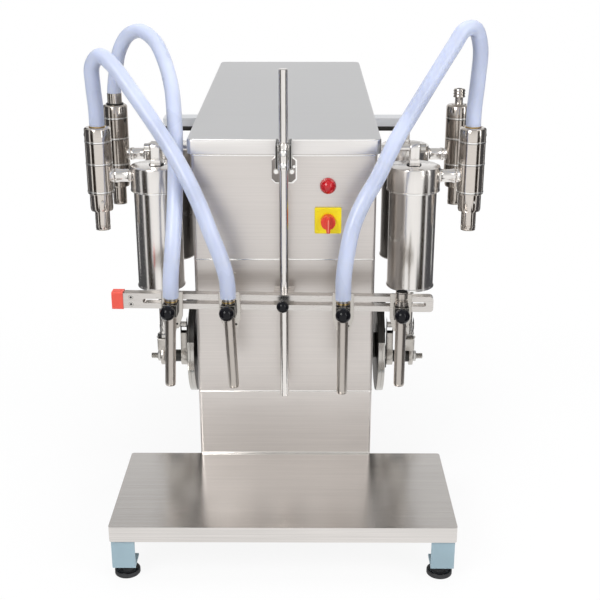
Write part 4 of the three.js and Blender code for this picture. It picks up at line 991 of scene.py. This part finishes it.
for nozzle_name, (nozzle_along, nozzle_lean, nozzle_tip, open_socket) in NOZZLES.items():
    nozzle_place = leaning(nozzle_along, nozzle_lean)
    nozzle_holder(nozzle_name, nozzle_place)
    nozzle_tube(nozzle_name, nozzle_place, nozzle_tip, open_socket)
    nozzle_knob(nozzle_name, nozzle_place)


# Pilot lamp and main switch on the cabinet's front
LAMP_PLACE = (78, 635)
SWITCH_PLACE = (78.5, 572)


def pilot_lamp():
    x, z = LAMP_PLACE
    shape = Shape()
    lens = [(0, 0), (14.5, 0), (14.5, 2), (13.9, 3)]
    for step in range(1, 15):
        angle = math.pi / 2 * step / 15
        lens.append((13.6 * math.cos(angle), 3.2 + 13 * math.sin(angle)))
    lens.append((0, 16.2))
    shape.turned(lens, (x, FRONT - 0.3, z), FORWARD, LENS_RED, 96)
    shape.rod(11, (x, FRONT - 1, z), (x, FRONT + 33.8, z), BLACK_PLASTIC)
    shape.done("lamp_lens", "machine", "red_lens", "pilot_lamp")


def main_switch():
    """A square plate with its screws and body, and a round handle with a grip."""
    x, z = SWITCH_PLACE
    base = Shape()
    base.prism(rounded_square(24, 2.5, 6), (x, FRONT - 0.3, z), RIGHT, UP, 4, YELLOW_PLASTIC, 0.9, 3)
    base.ring(12, 15.4, (x, FRONT - 4.2, z), (x, FRONT - 4.5, z), YELLOW_PLASTIC, 64, 0.1)
    dimple = [(0, 0.12), (1.9, 0.12), (2.2, 0), (0, 0)]
    for a, u in CORNERS:
        base.turned(dimple, (x + 18 * a, FRONT - 4.3, z + 18 * u), FORWARD, YELLOW_PLASTIC, 24)
    base.rod(11, (x, FRONT - 1, z), (x, FRONT + 6, z), BLACK_PLASTIC)
    base.box((x - 20, FRONT + 2.3, z - 20), (x + 20, FRONT + 48.2, z + 20), BLACK_PLASTIC, 1.5)
    base.done("switch_plate", "machine", "yellow_plastic", "main_switch_body")

    handle = Shape()
    drum = [(0, 0), (12.6, 0), (13, 0.6), (13, 15.6), (12.4, 16.8), (11.4, 17.1), (0, 17.1)]
    handle.turned(drum, (x, FRONT - 4.6, z), FORWARD, RED_PLASTIC, 96)
    for a, u in circle(12.75, 20)[:-1]:
        if abs(a) > 12.75 / 2:
            handle.rod(0.5, (x + a, FRONT - 5.2, z + u), (x + a, FRONT - 20.6, z + u), RED_PLASTIC, 12, 0.1)
    grip = [(-3.5, -14.4), (-2.4, -15.9), (2.4, -15.9), (3.5, -14.4), (3.5, 10.2), (1.9, 12.9), (-1.9, 12.9),
            (-3.5, 10.2)]
    handle.prism(grip, (x, FRONT - 13, z), RIGHT, UP, 20.4, RED_PLASTIC, 1.1, 3)
    # A thin pale stripe down the grip's front: painted highlight
    handle.box((x - 1.1, FRONT - 33.6, z - 14), (x + 1.1, FRONT - 33.2, z + 9), GRIP_HIGHLIGHT_RED, 0.2)
    handle.done("switch_grip", "switch_handle", "red_plastic", "main_switch_knob")


pilot_lamp()
main_switch()


# Levelling feet with a threaded stud, a lock nut and a round pad
def levelling_foot(place):
    low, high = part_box(f"levelling_foot_{place}")
    x, y = (low.x + high.x) / 2 / MM, (low.y + high.y) / 2 / MM
    shape = Shape()
    pad = [(0, 0), (21.4, 0), (22.2, 0.8), (22.2, 6.6), (21.2, 8), (12, 8.4), (11, 9.5), (10.6, 13),
           (7, 13.4), (0, 13.4)]
    shape.turned(pad, (x, y, 0), UP, RUBBER, 96)
    shape.ring(17, 20, (x, y, 7.6), (x, y, 8.6), BLACK_PLASTIC, 64, 0.3)
    shape.thread(6, (x, y, 13), (x, y, 48), FASTENER, 1.75)
    shape.nut(10, 6, (x, y, 15.2), UP, FASTENER)
    shape.done(f"foot_{place}", "machine", "black_rubber", f"levelling_foot_{place}")


for foot_place in ("front_left", "front_right", "rear_left", "rear_right"):
    levelling_foot(foot_place)


# Small fasteners and fittings on the cabinet, with the painted highlights and painted shade of its sheets
SEAMS = ((236, 2.6), (498, 2.8), (689.6, 2))


def cabinet_details():
    """A screw on the front and domed screws in two rows on both walls."""
    shape = Shape()
    dome = [(0, 0), (3.2, 0), (2.6, 1.5), (0, 2)]
    shape.turned(dome, (-92.6, FRONT + 0.1, 471), FORWARD, MACHINED, 32)
    dome = [(0, 0), (4, 0), (3.4, 1.8), (0, 2.4)]
    for sign in (-1, 1):
        for y in (-250, 130, 500):
            for z in (520, 480):
                shape.turned(dome, (sign * (CABINET_HALF - 0.1), y, z), (sign, 0, 0), FASTENER, 32)
    shape.done("panel_screws", "machine", "turned_stainless")


def seam_strips():
    """Folded edges of the sheet shells where they meet, all round the cabinet, bright as painted highlight.
    """
    shape = Shape()
    back = FRONT + CABINET_DEPTH
    half = CABINET_HALF - 3
    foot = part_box("platform_plate")[1].z / MM
    shape.box((-half, FRONT - 0.6, foot + 0.3), (half, FRONT + 1, foot + 2.8), HIGHLIGHT_STEEL, 0.3)
    for z, height in SEAMS:
        low, high = z - height / 2, z + height / 2
        shape.box((-half, FRONT - 0.5, low), (half, FRONT + 1, high), HIGHLIGHT_STEEL, 0.3)
        shape.box((-half, back - 1, low), (half, back + 0.5, high), HIGHLIGHT_STEEL, 0.3)
        for sign in (-1, 1):
            x0, x1 = side_span(sign, CABINET_HALF - 1, CABINET_HALF + 0.5)
            shape.box((x0, FRONT + 4, low), (x1, back - 4, high), HIGHLIGHT_STEEL, 0.3)
    shape.done("seam_highlight_edges", "machine", "brushed_stainless")


def lid_front():
    """The lid's folded front: a rolled edge above a plain lip, the edge bright as painted highlight and the
    lip a lighter copy of the sheet as painted light.
    """
    shape = Shape()
    lip, half = FRONT - 6.3, CABINET_HALF - 1
    shape.box((-half, lip - 0.4, 693.6), (half, lip + 0.6, 717), LIP_LIGHT_SHEET, 0.3)
    shape.box((3 - half, lip - 0.7, 716.4), (half - 3, lip + 2, 719.8), HIGHLIGHT_STEEL, 0.8)
    shape.done("lid_lip", "lid_cover", "brushed_stainless")


def beam_shade():
    """Painted shade: a dark strip on the lower part of the rear beam's front face, outside the cabinet."""
    shape = Shape()
    low, high = (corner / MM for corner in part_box("rear_hanger_beam"))
    edge = low.z + 0.36 * (high.z - low.z)
    for sign in (-1, 1):
        x0, x1 = side_span(sign, CABINET_HALF + 3, high.x - 0.5)
        shape.box((x0, low.y - 0.3, low.z + 0.2), (x1, low.y + 0.6, edge), BLACKENED, 0.2)
    shape.done("beam_painted_shade", "machine", "blackened_iron")


cabinet_details()
seam_strips()
lid_front()
beam_shade()


# CAD solids that stay in sight: their finish, smooth rounds and flat faces
KEPT = {
    "base_frame": FRAME_PAINT,
    "platform_plate": PLATFORM_SHEET,
    "lower_cabinet": LOWER_CABINET_LIGHT_SHEET,
    "middle_cabinet": SHEET,
    "upper_cabinet": SHEET,
    "lid": LID_SHEET,
    "rear_hanger_beam": BEAM_STEEL,
    "gearbox": GEAR_PAINT,
    "motor": GEAR_PAINT,
    "crank_shaft": ROD_STEEL,
    "nozzle_rail": RAIL_STEEL,
    "rail_end_cap": CAP_RED,
}
for node_name, finish_material in KEPT.items():
    node = frame["nodes"][node_name]
    for slot_index in range(len(node.material_slots)):
        node.material_slots[slot_index].material = finish_material
    smooth_with_sharp_edges(node.data, SHEET_SHARP_ANGLE)
    weighted = node.modifiers.new("flat_faces", "WEIGHTED_NORMAL")
    weighted.keep_sharp = True


# Floor, studio lights and surroundings
WHITE = (1, 1, 1, 1)


def flat_sheet(name, corners, material):
    """A single face that is part of the studio, not of the machine."""
    mesh = bpy.data.meshes.new(name)
    mesh.from_pydata(corners, [], [(0, 1, 2, 3)])
    mesh.materials.append(material)
    sheet = add_object(name, mesh)
    return sheet


def make_floor(half=40):
    """A pale floor, white to the camera and in mirrors but for the shade near the machine."""
    material = empty_material("floor_pale")
    tree = material.node_tree
    rays = add_node(tree, "LightPath").outputs
    seen = joined(tree, "MAXIMUM", rays["Is Camera Ray"], rays["Is Glossy Ray"])
    also = joined(tree, "MAXIMUM", seen, rays["Is Transmission Ray"])
    coords = add_node(tree, "TexCoord")
    distance = add_node(tree, "VectorMath", feeds={0: coords.outputs["Object"]}, operation="LENGTH")
    share = add_node(tree, "MapRange", {"From Min": 0.35, "From Max": 1.1, "To Min": 0.86, "To Max": 1.0},
                     {"Value": distance.outputs["Value"]})
    factor = joined(tree, "MULTIPLY", share.outputs["Result"], also)
    matt = add_node(tree, "BsdfDiffuse", {"Color": (0.86, 0.86, 0.86, 1)})
    glow = add_node(tree, "Emission", {"Color": WHITE, "Strength": 1.0})
    mix = add_node(tree, "MixShader", feeds={0: factor, 1: matt.outputs[0], 2: glow.outputs[0]})
    add_node(tree, "OutputMaterial", feeds={"Surface": mix.outputs[0]})
    corners = [(-half, -half, 0), (half, -half, 0), (half, half, 0), (-half, half, 0)]
    flat_sheet("floor", corners, material).location.z = -0.0005


# Brightness that polished metal sees in the surroundings, from the horizon to overhead
SKY_STOPS = ((0.0, 1.0), (0.225, 0.9), (0.485, 0.66), (0.707, 0.58), (0.906, 0.55))
SKY_LIGHT = 0.42
SKY_TONE = (0.95, 0.97, 1.0, 1)


def make_world():
    """White to the camera, graded in mirrors, and a soft even light on everything."""
    world = bpy.data.worlds.new("studio")
    bpy.context.scene.world = world
    world.use_nodes = True
    tree = world.node_tree
    tree.nodes.clear()
    rays = add_node(tree, "LightPath").outputs
    coords = add_node(tree, "TexCoord")
    height = add_node(tree, "SeparateXYZ", feeds={0: coords.outputs["Generated"]})
    sky = add_node(tree, "ValToRGB", feeds={"Fac": height.outputs["Z"]})
    stops = sky.color_ramp.elements
    while len(stops) < len(SKY_STOPS):
        stops.new(0.5)
    for stop, (position, level) in zip(stops, SKY_STOPS):
        stop.position = position
        stop.color = (level, level, level, 1)
    seen = add_node(tree, "Background", {"Color": WHITE}).outputs[0]
    mirrored = add_node(tree, "Background", feeds={"Color": sky.outputs["Color"]}).outputs[0]
    lighting = add_node(tree, "Background", {"Color": SKY_TONE, "Strength": SKY_LIGHT}).outputs[0]
    straight = joined(tree, "MAXIMUM", rays["Is Camera Ray"], rays["Is Transmission Ray"])
    shiny = add_node(tree, "MixShader", feeds={0: rays["Is Glossy Ray"], 1: lighting, 2: mirrored})
    whole = add_node(tree, "MixShader", feeds={0: straight, 1: shiny.outputs[0], 2: seen})
    add_node(tree, "OutputWorld", feeds={"Surface": whole.outputs[0]})


def soft_light(name, place, aim, size, power, mirrored=True):
    lamp = bpy.data.lights.new(name, "AREA")
    lamp.shape = "RECTANGLE"
    lamp.size, lamp.size_y = size
    lamp.energy = power
    light = add_object(name, lamp)
    light.location = place
    light.rotation_euler = (Vector(aim) - Vector(place)).to_track_quat("-Z", "Y").to_euler()
    light.visible_camera = False
    light.visible_glossy = mirrored


def dark_card(name, azimuth, distance, width, height, tone):
    """A dark flag beside the object that only polished metal sees."""
    angle = math.radians(azimuth)
    centre = Vector((math.sin(angle) * distance, ROD_Y * MM - math.cos(angle) * distance, 0))
    across = Vector((math.cos(angle), math.sin(angle), 0)) * (width / 2)
    left, right = centre - across, centre + across
    corners = [(p.x, p.y, 0.001) for p in (left, right)] + [(p.x, p.y, height) for p in (right, left)]
    material = empty_material(name)
    glow = add_node(material.node_tree, "Emission", {"Color": (*tone, 1)})
    add_node(material.node_tree, "OutputMaterial", feeds={"Surface": glow.outputs[0]})
    card = flat_sheet(name, corners, material)
    card.visible_camera = False
    card.visible_diffuse = False
    card.visible_shadow = False
    card.visible_transmission = False


make_floor()
make_world()
soft_light("key", (-1.5, -2.2, 2.3), (0, 0, 0.5), (1.4, 1.4), 42)
soft_light("fill", (1.9, -1.6, 1.6), (0, 0, 0.5), (1.2, 1.6), 24)
soft_light("top", (0, 0.2, 2.9), (0, 0, 0), (2.0, 2.0), 36, mirrored=False)
soft_light("back", (0.3, 2.4, 2.2), (0, 0, 0.5), (1.6, 1.2), 20, mirrored=False)
BROWN = (0.03, 0.024, 0.02)
GREY = (0.075, 0.075, 0.08)
# Each card's direction in degrees from the front, its distance, width and height, and its tone
for card_name, card in {
    "flag_left_front": (-62, 1.0, 0.42, 1.3, BROWN),
    "flag_left": (-98, 1.2, 0.8, 1.3, GREY),
    "flag_left_back": (-135, 1.35, 0.7, 1.3, GREY),
    "flag_right_front": (64, 1.0, 0.38, 1.3, BROWN),
    "flag_right": (98, 1.2, 0.8, 1.3, GREY),
    "flag_right_back": (135, 1.35, 0.7, 1.3, GREY),
    "flag_left_low": (-64, 0.62, 0.34, 0.3, BROWN),
    "flag_right_low": (66, 0.62, 0.34, 0.3, BROWN),
    "flag_left_beside": (-104, 0.75, 0.55, 0.3, GREY),
    "flag_right_beside": (104, 0.75, 0.55, 0.3, GREY),
}.items():
    dark_card(card_name, *card)
bpy.context.scene.view_settings.view_transform = "Standard"
